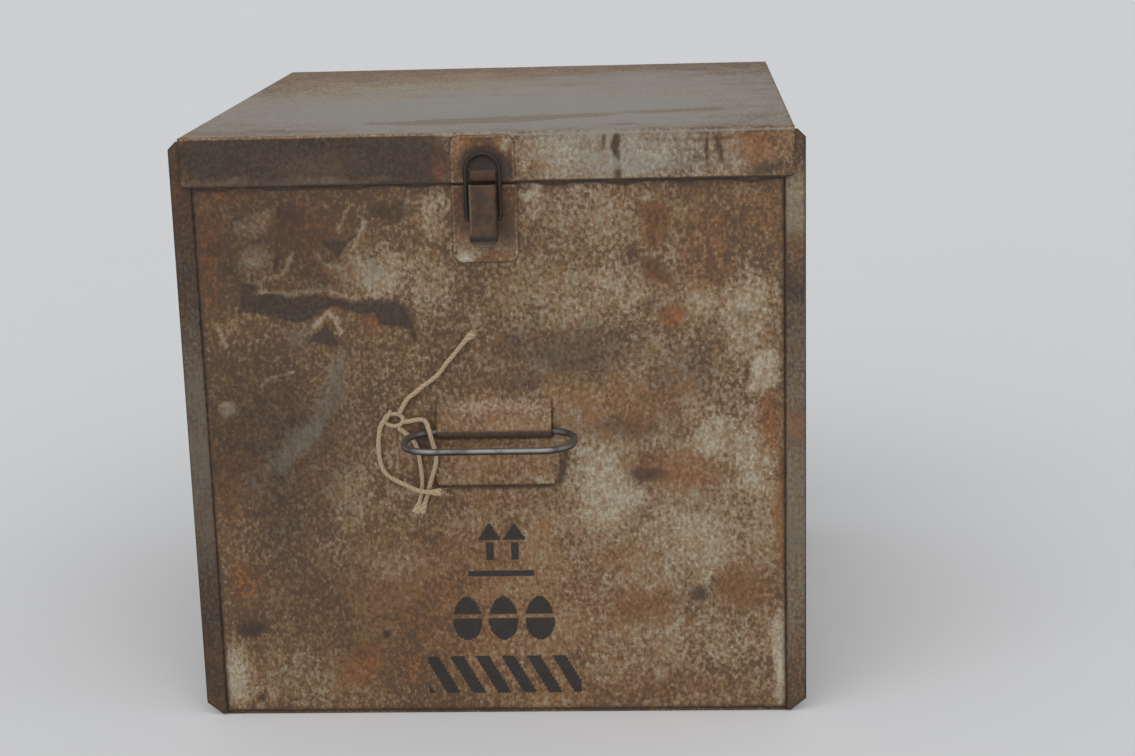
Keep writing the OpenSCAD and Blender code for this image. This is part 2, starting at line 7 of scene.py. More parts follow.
import bmesh
import bpy
import numpy as np
from mathutils import Matrix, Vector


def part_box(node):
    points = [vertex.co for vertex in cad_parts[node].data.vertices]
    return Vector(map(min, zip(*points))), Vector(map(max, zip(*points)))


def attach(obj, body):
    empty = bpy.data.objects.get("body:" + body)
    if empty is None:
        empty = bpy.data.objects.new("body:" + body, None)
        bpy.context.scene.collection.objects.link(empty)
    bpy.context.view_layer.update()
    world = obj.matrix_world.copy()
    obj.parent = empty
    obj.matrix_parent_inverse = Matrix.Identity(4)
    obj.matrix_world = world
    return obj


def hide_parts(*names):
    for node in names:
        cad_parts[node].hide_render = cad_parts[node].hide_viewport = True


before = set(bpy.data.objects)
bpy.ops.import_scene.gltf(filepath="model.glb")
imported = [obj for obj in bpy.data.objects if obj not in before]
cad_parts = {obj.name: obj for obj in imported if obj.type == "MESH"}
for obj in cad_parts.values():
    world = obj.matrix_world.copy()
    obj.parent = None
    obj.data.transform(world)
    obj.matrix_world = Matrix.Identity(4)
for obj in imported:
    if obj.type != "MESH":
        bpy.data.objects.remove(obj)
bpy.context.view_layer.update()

# Lengths are in millimetres, but for the distance in metres within which points are joined
MM = 0.001
SHEET_T = 0.8
TINY = 1e-6
WELD_M = 1e-6
Y_AXIS = np.array([0.0, 1.0, 0.0])
LOG = logging.getLogger("egg_carrier")
Array = np.ndarray
Pair = tuple[float, float]
Triple = tuple[float, float, float]


def node_box(name: str) -> tuple[Array, Array]:
    """Gives the box of a CAD node.

    Args:
        name: The node's name.

    Returns:
        Its lowest and highest corners, in millimetres.
    """
    low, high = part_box(name)
    return np.array(low) / MM, np.array(high) / MM


def panel_face() -> float:
    """Gives the distance from the crate's middle to the front panel's outer face."""
    return node_box("right_side_panel")[1][1] - SHEET_T


def linear(code: str) -> tuple[float, ...]:
    """Turns an sRGB colour into linear light.

    Args:
        code: The colour's hex code.

    Returns:
        Its linear red, green and blue, and a full alpha.
    """
    srgb = np.array([int(code[i:i + 2], 16) for i in (1, 3, 5)]) / 255
    value = np.where(srgb <= 0.04045, srgb / 12.92, ((srgb + 0.055) / 1.055) ** 2.4)
    return (*value.tolist(), 1.0)


def smoothstep(low: float, high: float, x: Array) -> Array:
    """Rises from 0 at low to 1 at high along 3t^2 - 2t^3."""
    t = np.clip((x - low) / (high - low), 0.0, 1.0)
    return t * t * (3 - 2 * t)


def unit(v: Array) -> Array:
    """Scales vectors along the last axis to length 1."""
    return v / np.linalg.norm(v, axis=-1, keepdims=True)


def spaced(*stops: Pair) -> Array:
    """Lays grid lines between stops.

    Args:
        stops: Pairs of a place and the spacing of the lines up to the next stop.

    Returns:
        The sorted places of all lines, with a line on every stop.
    """
    runs = [
        np.linspace(a, b, max(2, int(round((b - a) / step)) + 1))
        for (a, step), (b, _) in zip(stops[:-1], stops[1:])
    ]
    return np.unique(np.round(np.concatenate(runs), 6))


def rounded(corners: list[Pair], rounds: int = 3) -> Array:
    """Rounds a path's corners: each side is cut at a quarter and three quarters, several times over.

    Args:
        corners: The path's corners in order.
        rounds: How many times the sides are cut.

    Returns:
        The rounded path, with its ends where they were.
    """
    path = np.array(corners, float)
    for _ in range(rounds):
        near = 0.75 * path[:-1] + 0.25 * path[1:]
        far = 0.25 * path[:-1] + 0.75 * path[1:]
        cut = np.stack([near, far], axis=1).reshape(-1, path.shape[1])
        path = np.concatenate([path[:1], cut, path[-1:]])
    return path


def arc(centre: Pair, radius: float, start: float, end: float, count: int) -> Array:
    """Samples a circle's arc in a plane, from one angle in degrees to another."""
    w = np.radians(np.linspace(start, end, count))
    return np.stack([centre[0] + radius * np.cos(w), centre[1] + radius * np.sin(w)], axis=1)


def round_rectangle(low: Array, high: Array, radii: Pair, count: int, between: int) -> Array:
    """Draws a rectangle with round corners, from its lower right corner up and round.

    Args:
        low: Its lowest corner.
        high: Its highest corner.
        radii: The radius of its lower and of its upper corners.
        count: How many points each corner's arc has.
        between: How many points each side has between two arcs.

    Returns:
        The ring of points.
    """
    (left, bottom), (right, top), (r0, r1) = low, high, radii
    arcs = [
        arc((right - r0, bottom + r0), r0, -90, 0, count), arc((right - r1, top - r1), r1, 0, 90, count),
        arc((left + r1, top - r1), r1, 90, 180, count), arc((left + r0, bottom + r0), r0, 180, 270, count),
    ]
    sides = [np.linspace(a[-1], b[0], between + 2)[1:-1] for a, b in zip(arcs, arcs[1:] + arcs[:1])]
    return np.concatenate([run for pair in zip(arcs, sides) for run in pair])


@dataclass
class Surface:
    """A surface sampled on a grid of points, in millimetres.

    Attributes:
        points: The grid, as rows by columns by three.
        keep: Which cells between the grid lines are kept, or None for all.
        wrap: Whether the last column joins the first.
        flip: Whether the faces turn the other way.
        masks: Values on the points, by the name of the mesh attribute that carries them.
    """

    points: Array
    keep: Array | None = None
    wrap: bool = False
    flip: bool = False
    masks: dict[str, Array] = field(default_factory=dict)

    @classmethod
    def of(cls, x: Array | float, y: Array | float, z: Array | float, **options: object) -> "Surface":
        """Makes a surface from the X, Y and Z of its grid, each along rows, along columns or for all."""
        return cls(np.stack(np.broadcast_arrays(x, y, z), axis=-1), **options)

    def faces(self) -> Array:
        """Lists the grid's cells as quads of point numbers.

        Returns:
            One row of four point numbers for each kept cell.
        """
        rows, cols = self.points.shape[:2]
        index = np.arange(rows * cols).reshape(rows, cols)
        if self.wrap:
            index = np.concatenate([index, index[:, :1]], axis=1)
        quads = np.stack([index[:-1, :-1], index[:-1, 1:], index[1:, 1:], index[1:, :-1]], axis=-1)
        quads = quads.reshape(-1, 4) if self.keep is None else quads[self.keep]
        return quads[:, ::-1] if self.flip else quads

    def mirrored(self, signs: tuple[int, int, int]) -> "Surface":
        """Copies the surface with some axes turned round, its faces still pointing outwards."""
        turned = self.flip != (np.prod(signs) < 0)
        return Surface(self.points * np.array(signs), self.keep, self.wrap, turned, self.masks)


def make_piece(
    name: str, body: str, surfaces: list[Surface], material: bpy.types.Material,
    thickness: float = 0.0,
) -> bpy.types.Object:
    """Puts surfaces into one mesh object, which stands for the CAD node of its name where there is one.

    Args:
        name: The piece's name, which gets an ending where a CAD node has it.
        body: The body that it rides on.
        surfaces: Its surfaces, whose touching edges are joined.
        material: Its finish.
        thickness: Wall thickness inwards from the surfaces, in millimetres, or 0 for none.

    Returns:
        The new object.
    """
    counts = [s.points.shape[0] * s.points.shape[1] for s in surfaces]
    starts = np.concatenate([[0], np.cumsum(counts)[:-1]])
    points = np.concatenate([s.points.reshape(-1, 3) for s in surfaces]) * MM
    quads = np.concatenate([s.faces() + start for s, start in zip(surfaces, starts)])
    nodes = [name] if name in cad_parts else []
    title = f"{name}_dressed" if nodes else name
    mesh = bpy.data.meshes.new(title)
    mesh.from_pydata(points.tolist(), [], quads.tolist())
    for key in sorted({k for s in surfaces for k in s.masks}):
        levels = [s.masks.get(key, np.zeros(s.points.shape[:2])) for s in surfaces]
        values = np.concatenate([level.ravel() for level in levels]).astype(np.float32)
        mesh.attributes.new(key, "FLOAT", "POINT").data.foreach_set("value", values)
    shell = bmesh.new()
    shell.from_mesh(mesh)
    bmesh.ops.remove_doubles(shell, verts=shell.verts, dist=WELD_M)
    bmesh.ops.dissolve_degenerate(shell, edges=shell.edges, dist=0.1 * WELD_M)
    if not thickness:
        bmesh.ops.recalc_face_normals(shell, faces=shell.faces)
    shell.to_mesh(mesh)
    shell.free()
    mesh.polygons.foreach_set("use_smooth", np.ones(len(mesh.polygons), bool))
    mesh.materials.append(material)
    piece = bpy.data.objects.new(title, mesh)
    bpy.context.scene.collection.objects.link(piece)
    if thickness:
        wall = piece.modifiers.new("sheet", "SOLIDIFY")
        wall.thickness = thickness * MM
        wall.offset = -1.0
    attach(piece, body)
    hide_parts(*nodes)
    LOG.info("%s: %d points", title, len(mesh.vertices))
    return piece


def tube(path: Array, radius: Array | float, hint: Array, sides: int = 16, closed: bool = False) -> Surface:
    """Carries a circle along a path.

    Each ring is the path's point plus radius times (cos w a + sin w b), where a is square to the path and
    to the hint, and b to the path and a. An open tube ends in a point on its axis.

    Args:
        path: The middle line, as points by three.
        radius: One radius, or one per ring and side.
        hint: A direction that the path never runs along.
        sides: How many points a ring has.
        closed: Whether the path's end joins its start.

    Returns:
        The tube's surface.
    """
    ahead = np.roll(path, -1, 0) - np.roll(path, 1, 0) if closed else np.gradient(path, axis=0)
    t = unit(ahead)
    a = unit(np.cross(hint, t))
    b = np.cross(t, a)
    w = 2 * np.pi * np.arange(sides) / sides
    spokes = np.cos(w)[None, :, None] * a[:, None] + np.sin(w)[None, :, None] * b[:, None]
    size = np.broadcast_to(np.asarray(radius, float), (len(path), sides))
    rings = path[:, None] + size[..., None] * spokes
    if closed:
        return Surface(np.concatenate([rings, rings[:1]]), wrap=True)
    ends = [np.repeat(p[None, None], sides, 1) for p in (path[0], path[-1])]
    return Surface(np.concatenate([ends[0], rings, ends[1]]), wrap=True)


CRISP = 0.04


def prism(outline: Array, along: Array) -> Surface:
    """Draws an outline out along a direction and closes both ends to the outline's middle.

    Rows close to the ends keep its edges crisp.

    Args:
        outline: The outline's points, as points by three.
        along: How far it is drawn, in millimetres.

    Returns:
        The closed surface.
    """
    middle = np.repeat(outline.mean(0)[None], len(outline), 0)
    rows = [outline + share * along for share in (0.0, CRISP, 1 - CRISP, 1.0)]
    return Surface(np.stack([middle, *rows, middle + along]), wrap=True)


def seam(fine: Surface, edge: tuple[slice | int, slice | int], coarse: Array, axis: int) -> Surface:
    """Joins an edge of a fine surface to a coarse line: each fine point goes to the nearest coarse one.

    Args:
        fine: The fine surface.
        edge: The rows and columns of its points on the edge.
        coarse: The coarse line, as points by three.
        axis: The direction that nearness is measured along.

    Returns:
        The strip between them, with the edge's masks.
    """
    line = fine.points[edge]
    near = np.abs(line[:, None, axis] - coarse[None, :, axis]).argmin(1)
    masks = {key: np.stack([value[edge]] * 2) for key, value in fine.masks.items()}
    return Surface(np.stack([line, coarse[near]]), masks=masks)


SPAN_STEPS = 24


def through(points: Array, count: int) -> Array:
    """Draws a smooth curve through points: each span is the cubic with half the chords there as end slopes.

    Args:
        points: The points, as points by three.
        count: How many points to lay along the curve.

    Returns:
        The curve's points, evenly spaced along it.
    """
    before = np.concatenate([2 * points[:1] - points[1:2], points, 2 * points[-1:] - points[-2:-1]])
    p0, p1, p2, p3 = before[:-3], before[1:-2], before[2:-1], before[3:]
    t = np.linspace(0, 1, SPAN_STEPS, endpoint=False)[None, :, None]
    spans = 0.5 * (
        2 * p1[:, None] + (p2 - p0)[:, None] * t + (2 * p0 - 5 * p1 + 4 * p2 - p3)[:, None] * t**2
        + (3 * p1 - p0 - 3 * p2 + p3)[:, None] * t**3
    )
    fine = np.concatenate([spans.reshape(-1, 3), points[-1:]])
    run = np.concatenate([[0], np.cumsum(np.linalg.norm(np.diff(fine, axis=0), axis=1))])
    even = np.linspace(0, run[-1], count)
    return np.stack([np.interp(even, run, fine[:, k]) for k in range(3)], axis=1)


def run_length(path: Array) -> float:
    """Adds up the lengths of a path's spans."""
    return float(np.linalg.norm(np.diff(path, axis=0), axis=1).sum())


@dataclass(frozen=True)
class Waves:
    """The shallow waves of an old sheet.

    Attributes:
        depth: Their depth, in millimetres.
        lengths: Millimetres to a radian along the sheet's two directions.
        starts: Where each starts, in radians.
    """

    depth: float
    lengths: Pair
    starts: Pair

    def swing(self, u: Array, v: Array) -> Array:
        """Multiplies two sines, one along each direction."""
        return np.sin(u / self.lengths[0] + self.starts[0]) * np.sin(v / self.lengths[1] + self.starts[1])


class Stain(Enum):
    """The kinds of mark on the sheet, each a mesh attribute of that name."""

    RUST = "rust"
    # Dark soot stains, and also painted shade and painted shadows
    SOOT = "soot"
    # Bare zinc, and also painted highlights on rims and edges
    ZINC = "zinc"
    FILM = "film"
    WORN = "worn"
    INK = "ink"


WOBBLE_SEED = 3
WOBBLE_WAVES = 9
WOBBLE_MM = (6.0, 32.0)


def wobble(u: Array, v: Array, amount: float) -> tuple[Array, Array]:
    """Shifts places by a sum of seeded plane waves, so that marks get uneven outlines.

    Args:
        u: Places along a piece's first direction, in millimetres.
        v: The same along its second direction.
        amount: How far a wave of the longest kind shifts a place, in millimetres.

    Returns:
        The shifted places.
    """
    rng = np.random.default_rng(WOBBLE_SEED)
    length = rng.uniform(*WOBBLE_MM, (2, WOBBLE_WAVES))
    angle, phase = rng.uniform(0, 2 * np.pi, (2, 2, WOBBLE_WAVES))
    shifts = []
    for k in range(2):
        along = u[..., None] * np.cos(angle[k]) + v[..., None] * np.sin(angle[k])
        waves = length[k] / WOBBLE_MM[1] * np.sin(2 * np.pi * along / length[k] + phase[k])
        shifts.append(amount * waves.sum(-1))
    return u + shifts[0], v + shifts[1]


def edge_distance(u: Array, v: Array, line: Array) -> Array:
    """Measures how far places are from a line of points.

    Args:
        u: Places along the piece's first direction.
        v: The same along its second direction.
        line: The line's points in order.

    Returns:
        The distance from each place to the line's nearest span.
    """
    a, span = line[:-1], np.diff(line, axis=0)
    du, dv = u[..., None] - a[:, 0], v[..., None] - a[:, 1]
    t = np.clip((du * span[:, 0] + dv * span[:, 1]) / (span**2).sum(1), 0, 1)
    return np.hypot(du - t * span[:, 0], dv - t * span[:, 1]).min(-1)


@dataclass(frozen=True)
class Blot:
    """One soft-edged round mark on a flat piece, in millimetres along the piece's two directions.

    Attributes:
        kind: What it is made of.
        at: Its middle.
        radii: Its half sizes before it is turned.
        level: Its strength in the middle.
        turn: Its turn, in degrees.
    """

    kind: Stain
    at: Pair
    radii: Pair
    level: float
    turn: float = 0.0

    def spread(self, u: Array, v: Array) -> Array:
        """Falls off as level times exp(-q^3), where q is the distance from the middle in half sizes.

        Args:
            u: Places along the piece's first direction.
            v: The same along its second direction.

        Returns:
            The mark's strength at each place.
        """
        w = np.radians(self.turn)
        du, dv = u - self.at[0], v - self.at[1]
        along = (du * np.cos(w) + dv * np.sin(w)) / self.radii[0]
        across = (dv * np.cos(w) - du * np.sin(w)) / self.radii[1]
        return self.level * np.exp(-np.hypot(along, across) ** 3)


@dataclass(frozen=True)
class Patch:
    """One mark with its own outline, such as a dried run of dirt.

    Attributes:
        kind: What it is made of.
        outline: Its corners in order, in millimetres.
        level: Its strength inside.
        soft: How far its edge fades.
    """

    kind: Stain
    outline: tuple[Pair, ...]
    level: float
    soft: float

    def spread(self, u: Array, v: Array) -> Array:
        """Is level inside the outline and fades across it, by the distance to the nearest side.

        Args:
            u: Places along the piece's first direction.
            v: The same along its second direction.

        Returns:
            The mark's strength at each place.
        """
        line = np.array(self.outline + self.outline[:1], float)
        a, b = line[:-1], line[1:]
        crosses = (a[:, 1] > v[..., None]) != (b[:, 1] > v[..., None])
        slope = (b[:, 0] - a[:, 0]) / np.where(b[:, 1] == a[:, 1], 1e-9, b[:, 1] - a[:, 1])
        inside = (crosses & (u[..., None] < a[:, 0] + (v[..., None] - a[:, 1]) * slope)).sum(-1) % 2 == 1
        depth = edge_distance(u, v, line) * np.where(inside, 1, -1)
        return self.level * smoothstep(-0.5 * self.soft, 0.5 * self.soft, depth)


@dataclass(frozen=True)
class Scratch:
    """One thin mark along a line of points, in millimetres.

    Attributes:
        kind: What it is made of.
        line: Its points in order.
        level: Its strength along the middle.
        half: Half its width.
    """

    kind: Stain
    line: tuple[Pair, ...]
    level: float = 0.62
    half: float = 1.2

    def spread(self, u: Array, v: Array) -> Array:
        """Falls off as level times exp(-(d / half)^2), where d is the distance to the line."""
        return self.level * np.exp(-(edge_distance(u, v, np.array(self.line, float)) / self.half) ** 2)


Mark = Blot | Patch | Scratch

# Round marks with half sizes over this get ragged outlines, and all others only slightly uneven ones
BROAD_MARK = 11.0
RAGGED_MM = 1.5
UNEVEN_MM = 0.5


def blots(kind: Stain, *rows: tuple[float, ...]) -> tuple[Blot, ...]:
    """Makes round marks of one kind.

    Args:
        kind: What they are made of.
        rows: For each mark its two places, its two half sizes, its level and, where it is turned, its turn.

    Returns:
        The marks.
    """
    return tuple(Blot(kind, row[:2], row[2:4], *row[4:]) for row in rows)


def deepen(masks: dict[str, Array], kind: Stain, level: Array) -> None:
    """Raises one kind of mark to a level where it is weaker."""
    masks[kind.value] = np.maximum(masks[kind.value], level)


def stain(u: Array, v: Array, marks: tuple[Mark, ...]) -> dict[str, Array]:
    """Adds up marks on a grid.

    Args:
        u: The grid's places along the piece's first direction.
        v: The same along its second direction.
        marks: The marks.

    Returns:
        For each kind of mark, the strongest one at each place.
    """
    masks = {kind.value: np.zeros(np.broadcast(u, v).shape) for kind in Stain}
    ragged, uneven = wobble(u, v, RAGGED_MM), wobble(u, v, UNEVEN_MM)
    for mark in marks:
        broad = isinstance(mark, Blot) and min(mark.radii) > BROAD_MARK
        deepen(masks, mark.kind, mark.spread(*(ragged if broad else uneven)))
    return masks


def add_node(
    tree: bpy.types.NodeTree, kind: str, inputs: dict[str | int, object] | None = None, **settings: object
) -> bpy.types.Node:
    """Adds a shader node.

    Args:
        tree: The material's node tree.
        kind: The node's type.
        inputs: Values for its inputs, or sockets to link to them.
        settings: Its other settings.

    Returns:
        The new node.
    """
    node = tree.nodes.new(kind)
    for key, value in settings.items():
        setattr(node, key, value)
    for key, value in (inputs or {}).items():
        if isinstance(value, bpy.types.NodeSocket):
            tree.links.new(value, node.inputs[key])
        else:
            node.inputs[key].default_value = value
    return node


def new_material(name: str) -> tuple[bpy.types.Material, bpy.types.NodeTree, bpy.types.Node]:
    """Makes an empty material with a Principled shader on its output.

    Args:
        name: What the material is.

    Returns:
        The material, its node tree and the shader.
    """
    material = bpy.data.materials.new(name)
    material.use_nodes = True
    tree = material.node_tree
    tree.nodes.clear()
    shader = add_node(tree, "ShaderNodeBsdfPrincipled")
    add_node(tree, "ShaderNodeOutputMaterial", {"Surface": shader.outputs[0]})
    return material, tree, shader


Weights = tuple[tuple[str, float], ...]
NOISE_ROUGHNESS = 0.6


@dataclass(frozen=True)
class Grain:
    """One size of noise in a finish.

    Attributes:
        key: Its name in the finish's weights.
        size: The real size of its features, in millimetres.
        detail: How many finer sizes ride on it.
        bend: How far it is drawn out of shape.
        stretch: How it is scaled along X, Y and Z; less than 1 draws it out.
    """

    key: str
    size: float
    detail: float = 4.0
    bend: float = 0.0
    stretch: Triple = (1.0, 1.0, 1.0)


@dataclass(frozen=True)
class Layer:
    """One colour over those below it, laid where a weighted sum of noises and marks is high.

    Attributes:
        colour: What is laid on.
        weights: What each noise or mark adds to the sum.
        bias: What the sum starts from.
        span: The sums at which the layer starts to show and at which it is full.
        top: Its opacity where it is full.
        blend: How it mixes with what is below.
    """

    colour: str
    weights: Weights
    bias: float
    span: Pair
    top: float = 1.0
    blend: str = "MIX"


@dataclass(frozen=True)
class Finish:
    """A material: a ground colour, layers over it, and a bump and roughness from the same noises and marks.

    Attributes:
        ground: The colour under all layers.
        layers: Its layers, from the lowest up.
        marks: The mesh attributes that it reads.
        bump: Weights of the bump's height.
        relief: Height of the bump, in millimetres.
        bite: Weights of the bump's strength, over the base in bite_base.
        rough: Weights of the roughness, over the base in rough_base.
        metallic: How far it reflects as bare metal does.
        sheen: How far fine fibres light up its edges.
    """

    name: str
    ground: str
    grains: tuple[Grain, ...]
    layers: tuple[Layer, ...]
    marks: tuple[str, ...] = ()
    bump: Weights = ()
    relief: float = 0.25
    bite: Weights = ()
    bite_base: float = 0.5
    rough: Weights = ()
    rough_base: float = 0.6
    metallic: float = 0.0
    sheen: float = 0.0

    def build(self) -> bpy.types.Material:
        """Makes the material: each sum is its start plus weights times noises or marks.

        A layer's mask is a smooth step of its sum.

        Returns:
            The material.
        """
        material, tree, shader = new_material(self.name)
        place = add_node(tree, "ShaderNodeTexCoord").outputs["Object"]
        values = {}
        for key in self.marks:
            values[key] = add_node(tree, "ShaderNodeAttribute", attribute_name=key).outputs["Fac"]
        for grain in self.grains:
            drawn = add_node(tree, "ShaderNodeMapping", {"Vector": place, "Scale": grain.stretch}).outputs[0]
            values[grain.key] = add_node(tree, "ShaderNodeTexNoise", {
                "Vector": drawn, "Scale": 1 / (grain.size * MM), "Detail": grain.detail,
                "Roughness": NOISE_ROUGHNESS, "Distortion": grain.bend,
            }).outputs[0]
        sums = [(layer.weights, layer.bias) for layer in self.layers]
        sums += [(self.bump, 0.0), (self.bite, self.bite_base), (self.rough, self.rough_base)]
        totals = []
        for weights, start in sums:
            total: object = start
            for key, weight in weights:
                total = add_node(
                    tree, "ShaderNodeMath", {0: values[key], 1: weight, 2: total}, operation="MULTIPLY_ADD"
                ).outputs[0]
            totals.append(total)
        colour: object = linear(self.ground)
        for layer, total in zip(self.layers, totals):
            mask = add_node(tree, "ShaderNodeMapRange", {
                "Value": total, "From Min": layer.span[0], "From Max": layer.span[1], "To Max": layer.top,
            }, interpolation_type="SMOOTHSTEP").outputs[0]
            colour = add_node(
                tree, "ShaderNodeMix", {0: mask, 6: colour, 7: linear(layer.colour)}, data_type="RGBA",
                blend_type=layer.blend,
            ).outputs[2]
        tree.links.new(colour, shader.inputs["Base Color"])
        height, strength, rough = totals[-3:]
        relief = {"Height": height, "Strength": strength, "Distance": self.relief * MM}
        tree.links.new(add_node(tree, "ShaderNodeBump", relief).outputs[0], shader.inputs["Normal"])
        if self.rough:
            tree.links.new(rough, shader.inputs["Roughness"])
        else:
            shader.inputs["Roughness"].default_value = self.rough_base
        shader.inputs["Metallic"].default_value = self.metallic
        shader.inputs["Sheen Weight"].default_value = self.sheen
        return material


# Hot-dipped galvanised sheet, decades old: the zinc has worn to pale specks over brown and orange rust,
# dense where it has lasted, with dark stains that dull it and places worn smooth by hands and loads.
# Its dark layers also lay painted shade and painted shadows, and its pale zinc layers lay painted
# highlights on the latch plates' rims
WEATHERED_SHEET = Finish(
    name="weathered_galvanised_sheet",
    ground="#513a22",
    grains=(
        Grain("drift", 95.0, bend=0.6), Grain("patch", 22.0, 5.0, 0.4), Grain("blotch", 7.0, 4.0, 0.3),
        Grain("speck", 1.7, 2.0, 0.0, (1.0, 1.0, 0.8)), Grain("grit", 0.6, 2.0),
        Grain("streak", 5.0, 3.0, 0.0, (0.05, 0.35, 1.0)), Grain("run", 1.5, 2.0, 0.0, (1.0, 1.0, 0.07)),
    ),
    marks=tuple(kind.value for kind in Stain),
    layers=(
        Layer("#775630", (("patch", 0.9), ("drift", 0.5), ("speck", 0.5), ("zinc", 0.3)), -0.08, (0.6, 1.2)),
        Layer("#726343", (("blotch", 0.9), ("patch", 0.5), ("speck", 0.4)), 0.0, (0.9, 1.3), 0.6),
        Layer("#724620", (("rust", 0.85), ("blotch", 0.9), ("speck", 1.1)), -0.85, (0.15, 1.05), 0.85),
        Layer("#96612a", (("rust", 0.6), ("speck", 1.5), ("grit", 0.7)), -1.2, (0.3, 0.9), 0.62),
        Layer("#826e52", (
            ("zinc", 1.1), ("blotch", 0.6), ("speck", 0.8), ("rust", -0.4),
        ), -0.75, (0.15, 1.0), 0.75),
        Layer("#8d836f", (
            ("zinc", 0.8), ("drift", 0.4), ("patch", 0.6), ("blotch", 0.7), ("speck", 2.0), ("run", 0.5),
            ("soot", -0.15), ("rust", -0.3),
        ), -2.07, (0.0, 1.05), 0.9),
        Layer("#b1a995", (
            ("zinc", 0.6), ("drift", 0.4), ("patch", 0.4), ("blotch", 0.4), ("speck", 1.9), ("grit", 0.7),
            ("run", 0.4), ("rust", -0.35),
        ), -2.27, (0.1, 1.0), 0.85),
        Layer("#3d2c1e", (("speck", -1.0), ("patch", -0.35), ("zinc", -0.4)), 0.17, (-0.65, -0.45), 0.6),
        Layer("#6e5e50", (
            ("soot", 1.0), ("patch", 0.4), ("blotch", 0.6), ("speck", 0.3),
        ), -0.65, (0.05, 0.95), blend="MULTIPLY"),
        Layer("#463529", (("soot", 1.3), ("blotch", 0.8), ("speck", 0.8)), -1.0, (0.55, 1.05), 0.6),
        Layer("#1f1815", (("soot", 1.0), ("blotch", 0.3), ("speck", 0.3)), -1.3, (0.15, 0.55), 0.75),
        Layer("#645c50", (
            ("film", 0.9), ("patch", 0.6), ("speck", 0.6), ("run", 0.4),
        ), -0.7, (0.15, 0.85), 0.68),
        Layer("#807d77", (
            ("worn", 1.4), ("film", -1.0), ("soot", -0.6), ("drift", 0.6), ("patch", 0.7), ("streak", 1.0),
            ("blotch", 0.4),
        ), -1.9, (0.05, 1.0), 0.88),
        Layer("#101113", (("ink", 1.0), ("speck", 0.9), ("patch", 0.9)), -1.0, (0.35, 0.6), 0.93),
    ),
    bump=(("speck", 0.55), ("grit", 0.4)),
    relief=0.25,
    bite=(("worn", -0.45),),
    rough=(("patch", 0.2), ("zinc", -0.08)),
    rough_base=0.56,
    metallic=0.08,
)

# Thin pressed steel or wire that has lost its plating: dark brown rust with grey grit, a painted highlight
# in dull grey along the lever's left edge and lip, and painted shade in near black in the lever's crease
# and over the bail
RUSTED_STEEL = Finish(
    name="dark_rusted_steel",
    ground="#38291f",
    grains=(Grain("patch", 7.0), Grain("grit", 0.8)),
    marks=(Stain.ZINC.value, Stain.SOOT.value),
    layers=(
        Layer("#553b26", (("patch", 1.0),), 0.0, (0.38, 0.66)),
        Layer("#74695c", (("grit", 1.0),), 0.0, (0.58, 0.74), 0.38),
        Layer("#74695c", (("zinc", 1.0),), 0.0, (0.0, 1.0)),
        Layer("#1c1613", (("soot", 1.0),), 0.0, (0.0, 1.0)),
    ),
    bump=(("grit", 1.0),),
    rough=(("patch", 0.35),),
    rough_base=0.4,
    metallic=0.35,
)

# Drawn steel wire with a zinc coat: cool grey metal with dull spots, painted shade on its underside and
# darkening near the wall
GALVANISED_WIRE = Finish(
    name="bright_galvanised_wire",
    ground="#7c7975",
    grains=(Grain("patch", 6.0, 5.0),),
    marks=(Stain.SOOT.value,),
    layers=(
        Layer("#5c5856", (("patch", 1.0),), 0.0, (0.44, 0.68)),
        Layer("#2c2725", (("soot", 1.0),), 0.0, (0.0, 1.0)),
    ),
    bump=(("patch", 1.0),),
    relief=0.2,
    bite_base=0.25,
    rough=(("patch", 0.4),),
    rough_base=0.26,
    metallic=0.85,
)

# Loosely laid cotton and jute twine: cream and dull, with painted shade in the grooves between its plies
# and fine fibres.
# Real fibres are too fine to show, so their noise, and those at the frayed tips, are drawn coarser
TWINE_FIBRE = Finish(
    name="cream_twine_fibre",
    ground="#76624a",
    grains=(Grain("fibre", 0.5, 3.0),),
    marks=("ply",),
    layers=(Layer("#a69072", (("ply", 0.5), ("fibre", 1.0)), 0.0, (0.25, 1.0)),),
    bump=(("fibre", 1.0),),
    relief=0.2,
    bite_base=0.6,
    rough_base=0.9,
    sheen=0.25,
)

# Grey-brown chipboard, the rough card of egg fillers: matt, with flecks of fibre and handled places
FILLER_CARD = Finish(
    name="brown_filler_card",
    ground="#8d7453",
    grains=(Grain("drift", 40.0), Grain("fleck", 1.6)),
    layers=(Layer("#6c573d", (("drift", 0.7), ("fleck", 1.0)), 0.0, (0.6, 1.15)),),
    bump=(("fleck", 1.0),),
    relief=0.2,
    bite_base=0.4,
    rough_base=0.92,
)


@dataclass(frozen=True)
class Finishes:
    """The built finishes, one for each material slot of the crate."""

    sheet: bpy.types.Material
    steel: bpy.types.Material
    wire: bpy.types.Material
    twine: bpy.types.Material
    card: bpy.types.Material

    @classmethod
    def build(cls) -> "Finishes":
        """Makes every finish once."""
        finishes = (WEATHERED_SHEET, RUSTED_STEEL, GALVANISED_WIRE, TWINE_FIBRE, FILLER_CARD)
        return cls(*(finish.build() for finish in finishes))


# Two places on the front where the zinc has come off in scabs
SCABS = (
    ((76, 269), (82, 273), (90, 270), (92, 264), (86, 249), (80, 249), (78, 260)),
    ((76, 244), (84, 243), (95, 229), (95, 225), (88, 229), (76, 238)),
)

